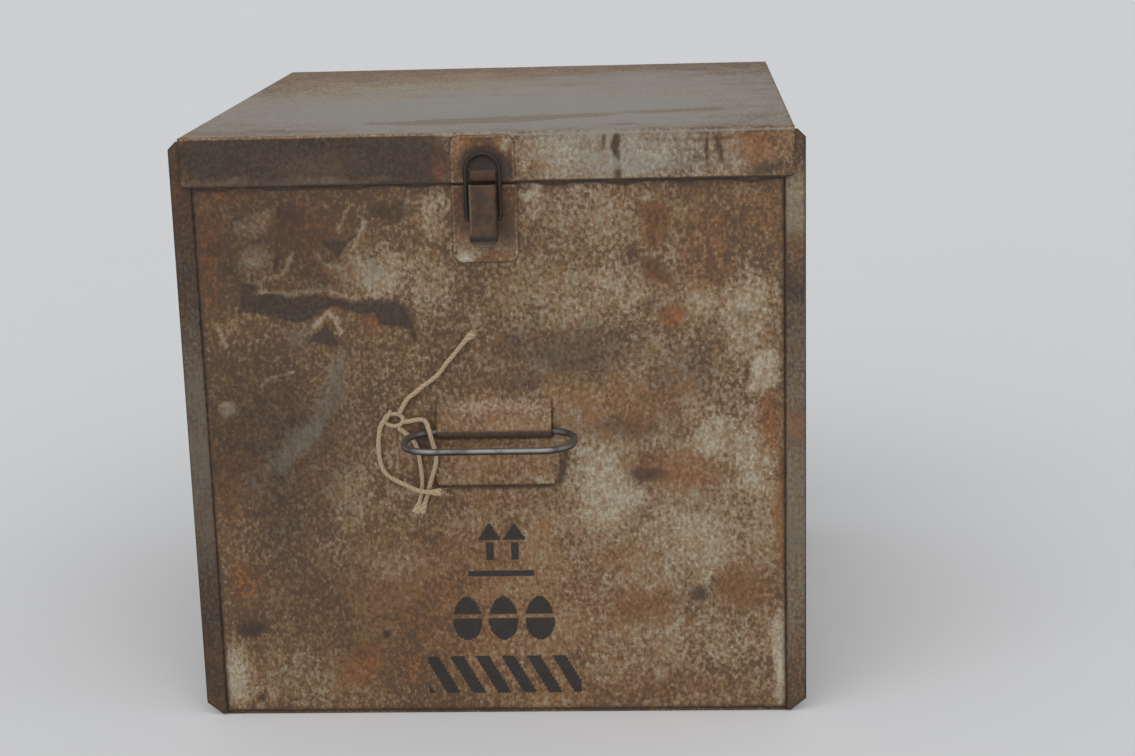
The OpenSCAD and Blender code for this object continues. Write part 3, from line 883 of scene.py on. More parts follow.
# Marks on the front wall, by X and Z
FRONT_MARKS = (
    *blots(
        Stain.SOOT,
        (-112, 252, 60, 44, 0.52), (-116, 150, 52, 64, 0.6), (-96, 60, 70, 60, 0.3),
        (40, 180, 140, 120, 0.1), (-124, 232, 5, 4, 0.85, 40), (-100, 270, 12, 10, 0.6),
        (-128, 265, 12, 10, 0.5), (-49, 270, 14, 8, 0.6), (-124, 152, 16, 16, 0.6),
        (-113, 106, 22, 26, 0.52), (-132, 48, 9, 6, 0.8), (-129, 10, 3, 3, 0.8), (-61, 44, 3, 3, 0.8),
        (36, 196, 44, 18, 0.56), (14, 182, 26, 8, 0.5), (99, 186, 24, 18, 0.42), (66, 156, 24, 8, 0.46),
        (78, 130, 12, 6, 0.62), (103, 66, 5, 5, 0.66), (72, 57, 20, 10, 0.3), (126, 67, 16, 14, 0.28),
        (-37, 150, 9, 10, 0.62), (72, 246, 4, 6, 0.52), (80, 221, 4, 4, 0.5), (128, 212, 5, 4, 0.45),
        (128, 183, 2.5, 9, 0.5),
    ),
    *blots(
        Stain.RUST,
        (-133, 280, 16, 5, 0.9), (-142, 250, 6, 40, 0.75), (-91, 264, 20, 14, 0.6), (-140, 120, 6, 34, 0.6),
        (-60, 213, 8, 8, 0.6), (141, 157, 7, 20, 0.9), (138, 268, 16, 24, 0.42), (112, 250, 16, 30, 0.55),
        (60, 168, 44, 18, 0.6), (94, 132, 26, 11, 0.75, -12), (-135, 74, 8, 13, 0.95),
        (-75, 27, 10, 20, 0.85, -35), (-47, 25, 8, 12, 0.75), (0, 150, 42, 30, 0.55), (0, 118, 34, 8, 0.48),
        (-4, 62, 90, 60, 0.5), (66, 86, 20, 12, 0.6), (73, 58, 20, 11, 0.75), (127, 68, 18, 14, 0.7),
        (146, 108, 3.5, 40, 0.8), (60, 14, 80, 12, 0.4),
    ),
    *blots(
        Stain.ZINC,
        (0, 168, 34, 5, 0.6), (-6, 138, 20, 5, 0.45), (66, 118, 124, 170, 0.43), (-70, 120, 70, 90, 0.27),
        (-54, 238, 20, 17, 0.6), (-28, 268, 12, 18, 0.52), (-30, 230, 22, 24, 0.4), (-118, 246, 9, 8, 0.6),
        (-118, 264, 12, 6, 0.5, 30), (46, 267, 36, 22, 0.4), (24, 276, 8, 12, 0.6), (66, 230, 20, 16, 0.56),
        (108, 220, 10, 10, 0.7), (128, 214, 16, 26, 0.62), (115, 150, 26, 15, 0.7), (92, 92, 50, 28, 0.62),
        (131, 136, 13, 20, 0.7), (146, 26, 5, 34, 1.0), (-76, 119, 16, 26, 0.5), (-50, 84, 30, 14, 0.5),
        (-142, 22, 7, 20, 0.75), (-100, 20, 40, 20, 0.42), (-138, 168, 4, 5, 0.95),
    ),
    # Painted shadow under the lid's front skirt
    Scratch(Stain.SOOT, ((-148, 282.6), (148, 282.6)), 1.1, 0.9),
    Patch(
        Stain.SOOT,
        (
            (-127, 228), (-112, 229), (-97, 228), (-79, 226), (-50, 223), (-42, 219), (-37, 204), (-40, 202),
            (-43, 209), (-51, 210), (-57, 211), (-60, 218), (-80, 220), (-90, 216), (-98, 213), (-109, 215),
            (-129, 219),
        ),
        0.82, 5.5,
    ),
    Patch(
        Stain.SOOT,
        ((-88, 256), (-79, 255), (-72, 256), (-65, 260), (-71, 253), (-76, 246), (-80, 249)),
        0.85, 4.0,
    ),
    Patch(Stain.SOOT, ((-85, 213), (-78, 202), (-94, 202)), 0.95, 3.0),
    Patch(Stain.SOOT, ((-109, 255), (-105, 252), (-106, 241), (-111, 239)), 0.75, 4.0),
    *(Patch(Stain.SOOT, outline, level, 5.0) for outline, level in zip(SCABS, (0.36, 0.46))),
    *(Patch(Stain.RUST, outline, level, 5.0) for outline, level in zip(SCABS, (0.8, 0.75))),
    Patch(Stain.RUST, ((93, 221), (100, 217), (99, 210), (92, 205), (84, 209), (86, 216)), 0.9, 7.0),
    Patch(Stain.ZINC, ((131, 197), (145, 194), (147, 182), (141, 172), (127, 171), (130, 183)), 0.88, 9.0),
    Patch(Stain.ZINC, ((40, 147), (60, 147), (72, 130), (80, 118), (58, 98), (42, 106)), 0.8, 16.0),
    Scratch(Stain.ZINC, ((-99, 249), (-105, 237), (-117, 236), (-118, 229), (-97, 229.5))),
    Scratch(Stain.ZINC, ((-97, 229.5), (-79, 228), (-50, 225)), 0.55, 1.0),
    Scratch(Stain.ZINC, ((-88, 249), (-84, 244), (-74, 240))),
    Scratch(Stain.ZINC, ((-67, 274), (-73, 266), (-76, 260))),
    Scratch(Stain.ZINC, ((-62, 263), (-66, 257), (-68, 249))),
    Scratch(Stain.ZINC, ((-90, 212), (-83, 218), (-77, 208)), 0.8, 1.3),
    Scratch(Stain.ZINC, ((-119, 181), (-113, 185), (-103, 188))),
    Scratch(Stain.ZINC, ((-141, 214), (-136, 201)), 0.6, 1.0),
    Scratch(Stain.FILM, ((18, 222), (30, 219)), 0.8, 0.6),
    Patch(
        Stain.FILM,
        (
            (-79, 202), (-73, 200), (-76, 188), (-75, 177), (-87, 158), (-98, 145), (-111, 133), (-117, 135),
            (-117, 143), (-105, 154), (-92, 167), (-87, 182), (-82, 193),
        ),
        0.56, 9.0,
    ),
    Patch(Stain.FILM, ((-106, 208), (-90, 214), (-94, 202), (-104, 198)), 0.5, 8.0),
)

# Marks on the back wall, by X and Z
BACK_MARKS = (
    *blots(
        Stain.SOOT,
        (60, 230, 40, 12, 0.7), (-80, 120, 26, 34, 0.55), (100, 60, 18, 10, 0.7), (-30, 96, 14, 9, 0.7),
        (118, 262, 26, 12, 0.6),
    ),
    *blots(
        Stain.RUST,
        (0, 20, 150, 16, 0.6), (-120, 240, 20, 30, 0.6), (0, 150, 42, 30, 0.7), (94, 200, 30, 22, 0.7),
        (-100, 70, 34, 20, 0.75), (144, 120, 5, 70, 0.7), (-144, 150, 5, 60, 0.7),
    ),
    *blots(
        Stain.ZINC,
        (0, 150, 170, 190, 0.36), (-20, 250, 50, 24, 0.7), (70, 130, 40, 50, 0.6), (-96, 176, 26, 20, 0.75),
        (30, 70, 34, 18, 0.65),
    ),
    *blots(Stain.FILM, (-40, 190, 8, 36, 0.5)),
    Scratch(Stain.ZINC, ((-70, 236), (-46, 222), (-38, 206))),
    Scratch(Stain.ZINC, ((58, 108), (84, 96))),
    # Painted shadow under the lid's rear skirt
    Scratch(Stain.SOOT, ((-148, 291.5), (148, 291.5)), 1.0, 1.2),
)

# Marks on the left wall and its strips, by Y and Z
LEFT_MARKS = (
    *blots(Stain.FILM, (-165, 150, 8, 90, 0.5)),
    *blots(
        Stain.SOOT,
        (-165, 150, 8, 240, 0.68), (-165, 215, 8, 26, 0.66), (-165, 30, 8, 50, 0.6), (40, 200, 80, 30, 0.6),
        (-100, 180, 16, 22, 0.62), (30, 90, 20, 12, 0.66),
    ),
    *blots(
        Stain.RUST,
        (-165, 280, 8, 26, 0.8), (-165, 110, 8, 30, 0.6), (90, 40, 70, 30, 0.6), (-70, 250, 44, 24, 0.75),
        (110, 150, 24, 50, 0.65), (0, 6, 160, 14, 0.7),
    ),
    *blots(
        Stain.ZINC,
        (-165, 165, 8, 60, 0.55), (-20, 150, 140, 160, 0.36), (-40, 120, 60, 60, 0.6),
        (70, 262, 46, 18, 0.7), (-120, 60, 26, 34, 0.65),
    ),
    Scratch(Stain.ZINC, ((-60, 214), (-20, 196), (8, 190)), 0.62, 1.3),
    Scratch(Stain.ZINC, ((96, 112), (120, 84))),
)

# Marks on the right wall and its strips, by Y and Z
RIGHT_MARKS = (
    *blots(Stain.FILM, (-165, 120, 8, 120, 0.45)),
    *blots(
        Stain.SOOT,
        (-165, 150, 8, 240, 0.5), (-165, 40, 8, 60, 0.5), (-165, 225, 6, 8, 0.75), (20, 220, 60, 30, 0.6),
        (-30, 150, 24, 14, 0.64), (104, 60, 16, 22, 0.62),
    ),
    *blots(
        Stain.ZINC,
        (-165, 268, 6, 26, 0.75), (-165, 110, 6, 90, 0.55), (0, 150, 140, 160, 0.36),
        (60, 120, 70, 60, 0.7), (-50, 270, 50, 16, 0.7), (-110, 120, 24, 40, 0.65),
    ),
    *blots(
        Stain.RUST,
        (-165, 155, 6, 10, 1.5), (-165, 250, 6, 6, 0.7), (-60, 50, 60, 30, 0.6), (-96, 214, 34, 30, 0.7),
        (116, 232, 30, 34, 0.7), (0, 6, 160, 14, 0.7),
    ),
    Scratch(Stain.ZINC, ((-20, 236), (24, 222), (50, 226)), 0.62, 1.3),
    Scratch(Stain.ZINC, ((-74, 108), (-56, 84), (-30, 76))),
)

# Marks on the lid's top, by X and Y
TOP_MARKS = (
    *blots(Stain.ZINC, (0, -30, 230, 210, 0.6)),
    *blots(Stain.WORN, (0, -80, 260, 160, 1.0), (80, 40, 150, 130, 0.85)),
    *blots(Stain.SOOT, (66, -146, 12, 3, 0.6)),
    *blots(
        Stain.RUST,
        (-30, 120, 150, 40, 0.32), (-14, 6, 44, 6, 0.6), (60, 60, 60, 16, 0.4), (-126, -150, 34, 9, 0.7),
    ),
    Patch(
        Stain.FILM, ((-66, -122), (-20, -108), (62, -98), (66, -108), (14, -128), (-40, -132)), 1.15, 12.0,
    ),
    Patch(Stain.FILM, ((56, -94), (120, -80), (124, -92), (80, -106)), 0.7, 12.0),
)

# Marks on the lid's front skirt, by X and Z
SKIRT_MARKS = (
    *blots(
        Stain.SOOT,
        (-108, 296, 66, 30, 0.8), (-50, 297, 46, 30, 0.8), (-142, 300, 20, 12, 0.85),
        # The blot at X -1, Z 294 is painted shade seen through the strike plate's window
        (-36, 303, 18, 8, 0.85), (-1, 294, 10, 9, 1.6), (66, 301, 2.2, 7, 1.0), (59, 302, 1.2, 6, 0.85),
        (66, 288, 1.6, 4, 0.85), (111, 298, 1.2, 11, 0.9), (117, 298, 1.2, 11, 0.85),
        (140, 288, 12, 4, 0.6),
    ),
    *blots(Stain.RUST, (-24, 292, 6, 13, 1.0), (26, 296, 8, 10, 0.6), (134, 300, 15, 9, 0.9)),
    *blots(
        Stain.ZINC,
        (-96, 286, 60, 3, 0.75), (-84, 294, 30, 8, 0.5), (60, 296, 110, 40, 0.5), (36, 298, 26, 12, 0.75),
        (84, 296, 20, 10, 0.7),
    ),
    *blots(Stain.WORN, (66, 296, 90, 40, 0.8)),
)

# Marks on the latch plates, by X from their middle and Z
LATCH_MARKS = (
    *blots(
        Stain.ZINC,
        (0, 258, 24, 22, 0.62), (-12, 300, 5, 9, 0.65), (12, 303, 4, 4, 0.8), (-11, 246, 5, 4, 1.3),
        (-2, 247, 6, 2.5, 0.9),
    ),
    *blots(Stain.RUST, (0, 268, 20, 20, 0.7), (3, 246, 9, 4, 0.85), (-2, 299, 18, 12, 0.85)),
    *blots(
        Stain.SOOT,
        # The first two blots are painted shade inside the bail's arch and painted shadow to its right
        (1, 294, 12, 9, 1.5), (11, 290, 4.5, 8, 1.1), (11, 262, 6, 16, 0.66), (-11, 268, 5, 15, 0.6),
    ),
)


@dataclass
class StencilMarks:
    """Worn black stencil marks of plain shapes: a pair of arrows, a bar, a row of eggs and a hatched band.

    Attributes:
        arrows: The middle of each arrow.
        head: Where an arrow's head starts as a share of its height, its slope and how sharply it fades.
        shaft: Half width of an arrow's shaft, and where it ends as a share of the arrow's height.
        bar: Left, right, low and high side of the bar.
        eggs: The middle of each egg.
        egg_taper: An egg's width at its base, in half widths, and how much of it is gone at its top.
        egg_tie: Place of the gap across an egg as a share of its height, and the gap's half width.
        band: Left, right, low and high side of the hatched band.
        hatch: Spacing of the stripes, their lean and half the gap between them as a share of the spacing.
        soft: Width of a mark's soft edge.
    """

    arrows: tuple[float, ...] = (-5.0, 8.0)
    arrow_foot: float = 85.0
    arrow_h: float = 21.0
    head: Triple = (0.52, 1.6, 0.62)
    shaft: Pair = (1.98, 0.45)
    bar: tuple[float, float, float, float] = (-17.0, 18.0, 76.0, 79.0)
    eggs: tuple[float, ...] = (-18.0, 1.0, 20.0)
    egg_base: float = 41.0
    egg_half: float = 8.0
    egg_h: float = 24.0
    egg_taper: Pair = (1.08, 0.22)
    egg_tie: Pair = (0.55, 0.9)
    band: tuple[float, float, float, float] = (-40.0, 41.0, 11.0, 32.0)
    hatch: Triple = (13.5, 0.55, 0.22)
    soft: float = 0.7

    def ink(self, x: Array, z: Array) -> Array:
        """Draws the marks, each as a mask that is 1 inside its outline and fades over the soft edge.

        Args:
            x: Places across the panel, in millimetres.
            z: Heights, in millimetres.

        Returns:
            The strongest mark at each place, from 0 to 1.
        """
        insides = []
        start, slope, fade = self.head
        shaft_half, shaft_end = self.shaft
        up = z - self.arrow_foot
        for middle in self.arrows:
            side = np.abs(x - middle)
            head = np.minimum(fade * (self.arrow_h - up - slope * side), up - start * self.arrow_h)
            shaft = np.minimum(np.minimum(shaft_half - side, up), shaft_end * self.arrow_h - up)
            insides.append(np.maximum(head, shaft))
        blocks = []
        for left, right, low, high in (self.bar, self.band):
            blocks.append(np.minimum(np.minimum(x - left, right - x), np.minimum(z - low, high - z)))
        t = np.clip((z - self.egg_base) / self.egg_h, 0, 1)
        wide = self.egg_half * np.sqrt(4 * t * (1 - t)) * (self.egg_taper[0] - self.egg_taper[1] * t)
        tie = np.abs(z - self.egg_base - self.egg_tie[0] * self.egg_h) - self.egg_tie[1]
        insides += [np.minimum(wide - np.abs(x - middle), tie) for middle in self.eggs]
        pitch, lean, gap = self.hatch
        along = x - self.band[0] + lean * (z - self.band[2])
        stripe = np.abs(along % pitch - 0.5 * pitch) - gap * pitch
        insides += [blocks[0], np.minimum(blocks[1], stripe)]
        return smoothstep(-0.5 * self.soft, 0.5 * self.soft, np.max(insides, axis=0))


@dataclass
class HandlePanel:
    """The front or back wall: flat sheet with a pressed bridge over the handle wire and a boss below it.

    Attributes:
        node: The CAD node that it stands for.
        handle: The CAD node of its handle.
        signs: How X, Y and Z turn to bring the front wall to this one's place.
        boss_half: Half the boss's width at its top and at its foot.
        boss_foot: Where the step at the boss's foot starts and ends, from the foot up.
        boss_side: The same at its sides, inwards.
        edge_shade: Level and width of the painted shade along the wall's edges.
        under_boss_shade: The same for the painted shadow below the boss.
        beside_boss_shade: The same for the painted shade beside the boss.
        flat_rim: Width of the flat sheet round the bridge.
    """

    node: str
    handle: str
    marks: tuple[Mark, ...]
    stencil: StencilMarks | None = None
    signs: tuple[int, int, int] = (1, 1, 1)
    hem_h: float = 8.0
    flange_d: float = 10.0
    flange_gap: float = 0.3
    bridge_half: float = 29.5
    bridge_up: float = 16.5
    bridge_down: float = 4.6
    crest_out: float = 6.75
    crest_half: float = 2.2
    crest_shade: float = 0.8
    boss_gap: float = 1.0
    boss_out: float = 3.5
    boss_h: float = 24.0
    boss_half: Pair = (37.0, 31.5)
    boss_slope: float = 6.0
    boss_foot: Pair = (-0.2, 1.2)
    boss_side: Pair = (-0.3, 2.4)
    edge_shade: Pair = (0.9, 1.6)
    under_boss_shade: Pair = (0.7, 3.2)
    beside_boss_shade: Pair = (0.6, 4.0)
    step: float = 1.1
    fine_step: float = 0.7
    inner_step: float = 6.0
    waves: Waves = Waves(0.35, (47.0, 61.0), (0.6, 1.1))
    flat_rim: float = 15.0

    @property
    def axis_z(self) -> float:
        """The height of the handle's pivot."""
        low, high = node_box(self.handle)
        return (low[2] + high[2]) / 2

    @property
    def bridge_z(self) -> Pair:
        """The heights of the bridge's foot and top."""
        return self.axis_z - self.bridge_down, self.axis_z + self.bridge_up

    def boss_shape(self, z: Array) -> tuple[Array, Array, Array]:
        """Gives the boss's outline at each height.

        Args:
            z: Heights.

        Returns:
            The drop below its top, the rise over its foot and its half width.
        """
        top = self.bridge_z[0] - self.boss_gap
        up = z - top + self.boss_h
        share = np.clip(up / self.boss_h, 0, 1)
        return top - z, up, self.boss_half[1] + (self.boss_half[0] - self.boss_half[1]) * share

    def boss(self, x: Array, z: Array) -> Array:
        """Shapes the boss: it slopes out below the bridge, runs flat and steps back at its foot.

        Args:
            x: Places across the wall.
            z: Heights.

        Returns:
            How far it stands out at each place.
        """
        drop, up, half = self.boss_shape(z)
        down = smoothstep(0, self.boss_slope, drop) * smoothstep(*self.boss_foot, up)
        return self.boss_out * down * smoothstep(*self.boss_side, half - np.abs(x))

    def painted_shade(self, x: Array, z: Array) -> Array:
        """Darkens the wall's edges and the line below the boss and beside it: painted shade and shadow.

        Args:
            x: Places across the wall.
            z: Heights.

        Returns:
            The level of painted shade at each place.
        """
        low, high = node_box(self.node)
        _, up, half = self.boss_shape(z)
        level, width = self.edge_shade
        edge = np.clip(np.exp(-(high[0] - np.abs(x)) / width) + np.exp(-(z - low[2]) / width), 0, level)
        level, width = self.under_boss_shade
        under_shade = level * smoothstep(width, 0.0, np.abs(up + 0.8)) * smoothstep(2.0, -2.0, np.abs(x) - half)
        level, width = self.beside_boss_shade
        beside = level * smoothstep(width, 0.5, np.abs(x - half - 1)) * smoothstep(-1, 1, up)
        return np.maximum(edge, np.maximum(under_shade, beside * (up < self.boss_h)))

    def across(self, step: float) -> Array:
        """Lays grid lines across the wall at a step, and fine ones over the bridge."""
        wide, half = node_box(self.node)[1][0], self.bridge_half
        return spaced((-wide, step), (-half, self.step), (half, step), (wide, step))

    def hole(self, x: Array, z: Array) -> Array:
        """Finds the cells between grid lines that lie in the bridge's opening.

        Args:
            x: The lines across.
            z: The lines up.

        Returns:
            Whether each cell is in it.
        """
        low, top = self.bridge_z
        mid_x, mid_z = 0.5 * (x[1:] + x[:-1]), 0.5 * (z[1:] + z[:-1])
        return (np.abs(mid_x) < self.bridge_half)[None, :] & ((mid_z > low) & (mid_z < top))[:, None]

    def bridge(self) -> Surface:
        """Builds the bridge: a rounded profile over the wire, carried along X and back on its inner side.

        Returns:
            Its closed band.
        """
        (low, top), axis_z = self.bridge_z, self.axis_z
        profile = rounded([
            (0.0, low), (0.4, low + 0.1), (self.crest_out, axis_z - self.crest_half),
            (self.crest_out, axis_z + self.crest_half), (1.3, top - 3.4), (0.1, top - 1.2), (0.0, top),
        ])
        x = spaced((-self.bridge_half, self.step), (self.bridge_half, self.step))
        inward = np.repeat([0.0, SHEET_T], len(x))
        px, out, pz = np.broadcast_arrays(np.concatenate([x, x[::-1]]), profile[:, :1], profile[:, 1:])
        up = pz - axis_z
        # Painted shade on the crest's turned-under nose and on the bridge's underside
        nose = smoothstep(self.crest_out - 1.4, self.crest_out - 0.4, out) * smoothstep(1.6, 0.4, up)
        below = smoothstep(-0.4, -self.crest_half, up)
        masks = stain(px, pz, self.marks)
        deepen(masks, Stain.SOOT, self.crest_shade * np.maximum(nose, below))
        return Surface.of(px, inward - panel_face() - out, pz, wrap=True, masks=masks)

    def outer(self) -> Surface:
        """Builds the outer face: a profile of depth in and height that ends in a hem, carried along X.

        The boss moves it out, and shallow waves that die out at its edges and round the bridge move it in.

        Returns:
            Its surface, without the bridge's opening.
        """
        low, high = node_box(self.node)
        foot, top, wide = low[2], high[2], high[0]
        bridge_low, bridge_top = self.bridge_z
        boss_low = bridge_low - self.boss_gap - self.boss_h
        x = self.across(self.step)
        z = spaced(
            (foot, self.step), (boss_low - 2, self.fine_step), (boss_low + 3, self.step),
            (bridge_low, self.step), (bridge_top, self.step), (top - SHEET_T, self.step),
        )
        fold = arc((SHEET_T, top - SHEET_T), SHEET_T, 180, 0, 7)[1:]
        flat = np.stack([np.zeros(len(z)), z], axis=1)
        profile = np.concatenate([flat, fold, [(2 * SHEET_T, top - self.hem_h)]])
        px, depth, pz = np.broadcast_arrays(x, profile[:, :1], profile[:, 1:])
        reach = (pz - foot) * (top - pz) / (0.5 * (top - foot)) ** 2
        away = np.maximum(np.abs(px) - self.bridge_half, np.maximum(bridge_low - pz, pz - bridge_top))
        fade = (1 - (px / wide) ** 2) * np.clip(reach, 0, 1) * smoothstep(0, self.flat_rim, away)
        moved = self.waves.depth * fade * (1 + self.waves.swing(px, pz)) - self.boss(px, pz)
        masks = stain(px, pz, self.marks)
        # Painted shade along the wall's edges and painted shadow round the boss
        deepen(masks, Stain.SOOT, self.painted_shade(px, pz))
        if self.stencil:
            masks[Stain.INK.value] = self.stencil.ink(px, pz)
        py = depth - panel_face() + np.where(depth == 0, moved, 0)
        return Surface.of(px, py, pz, keep=~self.hole(x, profile[:, 1]), masks=masks)

    def inner(self) -> Surface:
        """Builds the flat inner face, coarse but for the lines that the bridge joins.

        Returns:
            Its surface, without the bridge's opening.
        """
        low, high = node_box(self.node)
        x = self.across(self.inner_step)
        z = spaced(*((stop, self.inner_step) for stop in (low[2], *self.bridge_z, high[2] - self.hem_h)))
        return Surface.of(x, SHEET_T - panel_face(), z[:, None], keep=~self.hole(x, z), flip=True)

    def seams(self, outer: Surface, inner: Surface) -> list[Surface]:
        """Joins the two faces along the foot, the hem, both sides and both ends of the bridge's opening.

        Args:
            outer: The outer face.
            inner: The inner face.

        Returns:
            The strips between them.
        """
        every = slice(None)
        strips = [seam(outer, (row, every), inner.points[row], 0) for row in (0, -1)]
        strips += [seam(outer, (every, column), inner.points[:, column], 2) for column in (0, -1)]
        for x in (-self.bridge_half, self.bridge_half):
            edges = []
            for points in (outer.points, inner.points):
                column = int(np.abs(points[0, :, 0] - x).argmin())
                first, last = (int(np.abs(points[:, column, 2] - z).argmin()) for z in self.bridge_z)
                edges.append((slice(first, last + 1), column))
            strips.append(seam(outer, edges[0], inner.points[edges[1]], 2))
        return strips

    def flange(self) -> Surface:
        """Builds the right flange: a bar of sheet behind the wall's edge, drawn up from the foot.

        Returns:
            Its closed surface.
        """
        low, high = node_box(self.node)
        near, far = self.flange_gap - panel_face(), self.flange_d - panel_face()
        x = high[0] - np.array([SHEET_T, 0.0, 0.0, SHEET_T])
        outline = np.stack([x, np.array([near, near, far, far]), np.full(4, low[2])], axis=1)
        return prism(outline, np.array([0.0, 0.0, high[2] - SHEET_T - low[2]]))

    def build(self, finishes: Finishes) -> None:
        """Builds the wall: two faces, the seams between them, the bridge and the flanges.

        Args:
            finishes: The built finishes.
        """
        outer, inner, flange = self.outer(), self.inner(), self.flange()
        flanges = [flange, flange.mirrored((-1, 1, 1))]
        surfaces = [outer, inner, self.bridge(), *self.seams(outer, inner), *flanges]
        turned = [s.mirrored(self.signs) for s in surfaces]
        make_piece(self.node, "crate", turned, finishes.sheet)


@dataclass
class SidePanel:
    """One side wall: folded sheet turned out along the front and back as edge strips with bevelled corners.

    Attributes:
        node: The CAD node that it stands for.
        side: 1 for the right wall and -1 for the left.
        foot: How far the strips are cut back at the foot, and how high.
        step_h: Height of the step where the rear strip ends.
        painted_shade: Level and width of the painted shade along both edges of each strip.
    """

    node: str
    side: int
    marks: tuple[Mark, ...]
    strip_w: float = 10.5
    bevel_top: float = 4.0
    foot: Pair = (8.0, 6.5)
    bend: float = 1.4
    step_h: float = 0.01
    painted_shade: Pair = (0.95, 1.7)
    waves: Waves = Waves(0.4, (53.0, 67.0), (0.4, 2.0))

    def build(self, finishes: Finishes) -> None:
        """Builds the wall: at each height a path of strip, bend, wall, bend and strip, cut at the bevels.

        The foot flange is a flat sheet along the depth.

        Args:
            finishes: The built finishes.
        """
        low, high = node_box("right_side_panel")
        half, deep, top, base = high[0], high[1], high[2], low[2]
        inner, rear_top = half - self.strip_w, node_box("back_panel")[1][2]
        cut, cut_h = self.foot
        z = spaced(
            (base, 1.3), (base + cut_h, 2.2), (rear_top - self.bevel_top, 1.0), (rear_top, 1.0),
            (rear_top + self.step_h, 1.5), (top - self.bevel_top, 1.0), (top, 1.0),
        )
        strip = spaced((inner + self.bend, 1.0), (half, 1.0))[:0:-1]
        turn = arc((inner + self.bend, self.bend - deep), self.bend, 270, 180, 6)
        wall_y = spaced((self.bend - deep, 2.5), (deep - self.bend, 1.0))[1:-1]
        front = np.concatenate([np.stack([strip, np.full(len(strip), -deep)], axis=1), turn])
        wall = np.stack([np.full(len(wall_y), inner), wall_y], axis=1)
        plan = np.concatenate([front, wall, front[::-1] * np.array([1, -1])])
        plan_x, py, pz = np.broadcast_arrays(plan[:, 0], plan[:, 1], z[:, None])
        strip_top = np.where(py < 0, top, rear_top)
        rise = np.clip((base + cut_h - pz) / cut_h, 0, 1) * cut
        reach = half - rise - np.clip(pz - strip_top + self.bevel_top, 0, self.bevel_top)
        reach = np.where(pz > strip_top, inner, reach)
        px = inner + (plan_x - inner) * (reach - inner) / self.strip_w
        # Painted shade along both edges of each strip
        level, width = self.painted_shade
        edge = np.exp(-np.abs(px - reach) / width) + np.exp(-np.abs(px - inner) / width)
        masks = stain(py, pz, self.marks)
        deepen(masks, Stain.SOOT, np.clip(edge * (np.abs(py) > deep - 0.5 * self.bend), 0, level))
        fade = np.clip(1 - (py / deep) ** 2, 0, 1) * np.clip(4 * pz * (top - pz) / top**2, 0, 1)
        swing = self.waves.swing(py, pz)
        flange_y = spaced((self.bend - deep, 6.0), (deep - self.bend, 1.0))
        flange_x = np.array([inner + 0.5 * SHEET_T, low[0]])
        surfaces = [
            Surface.of(px + self.waves.depth * fade * swing, py, pz, flip=True, masks=masks),
            Surface.of(flange_x[:, None], flange_y, base, flip=True),
        ]
        turned = [s.mirrored((self.side, 1, 1)) for s in surfaces]
        make_piece(self.node, "crate", turned, finishes.sheet, SHEET_T)


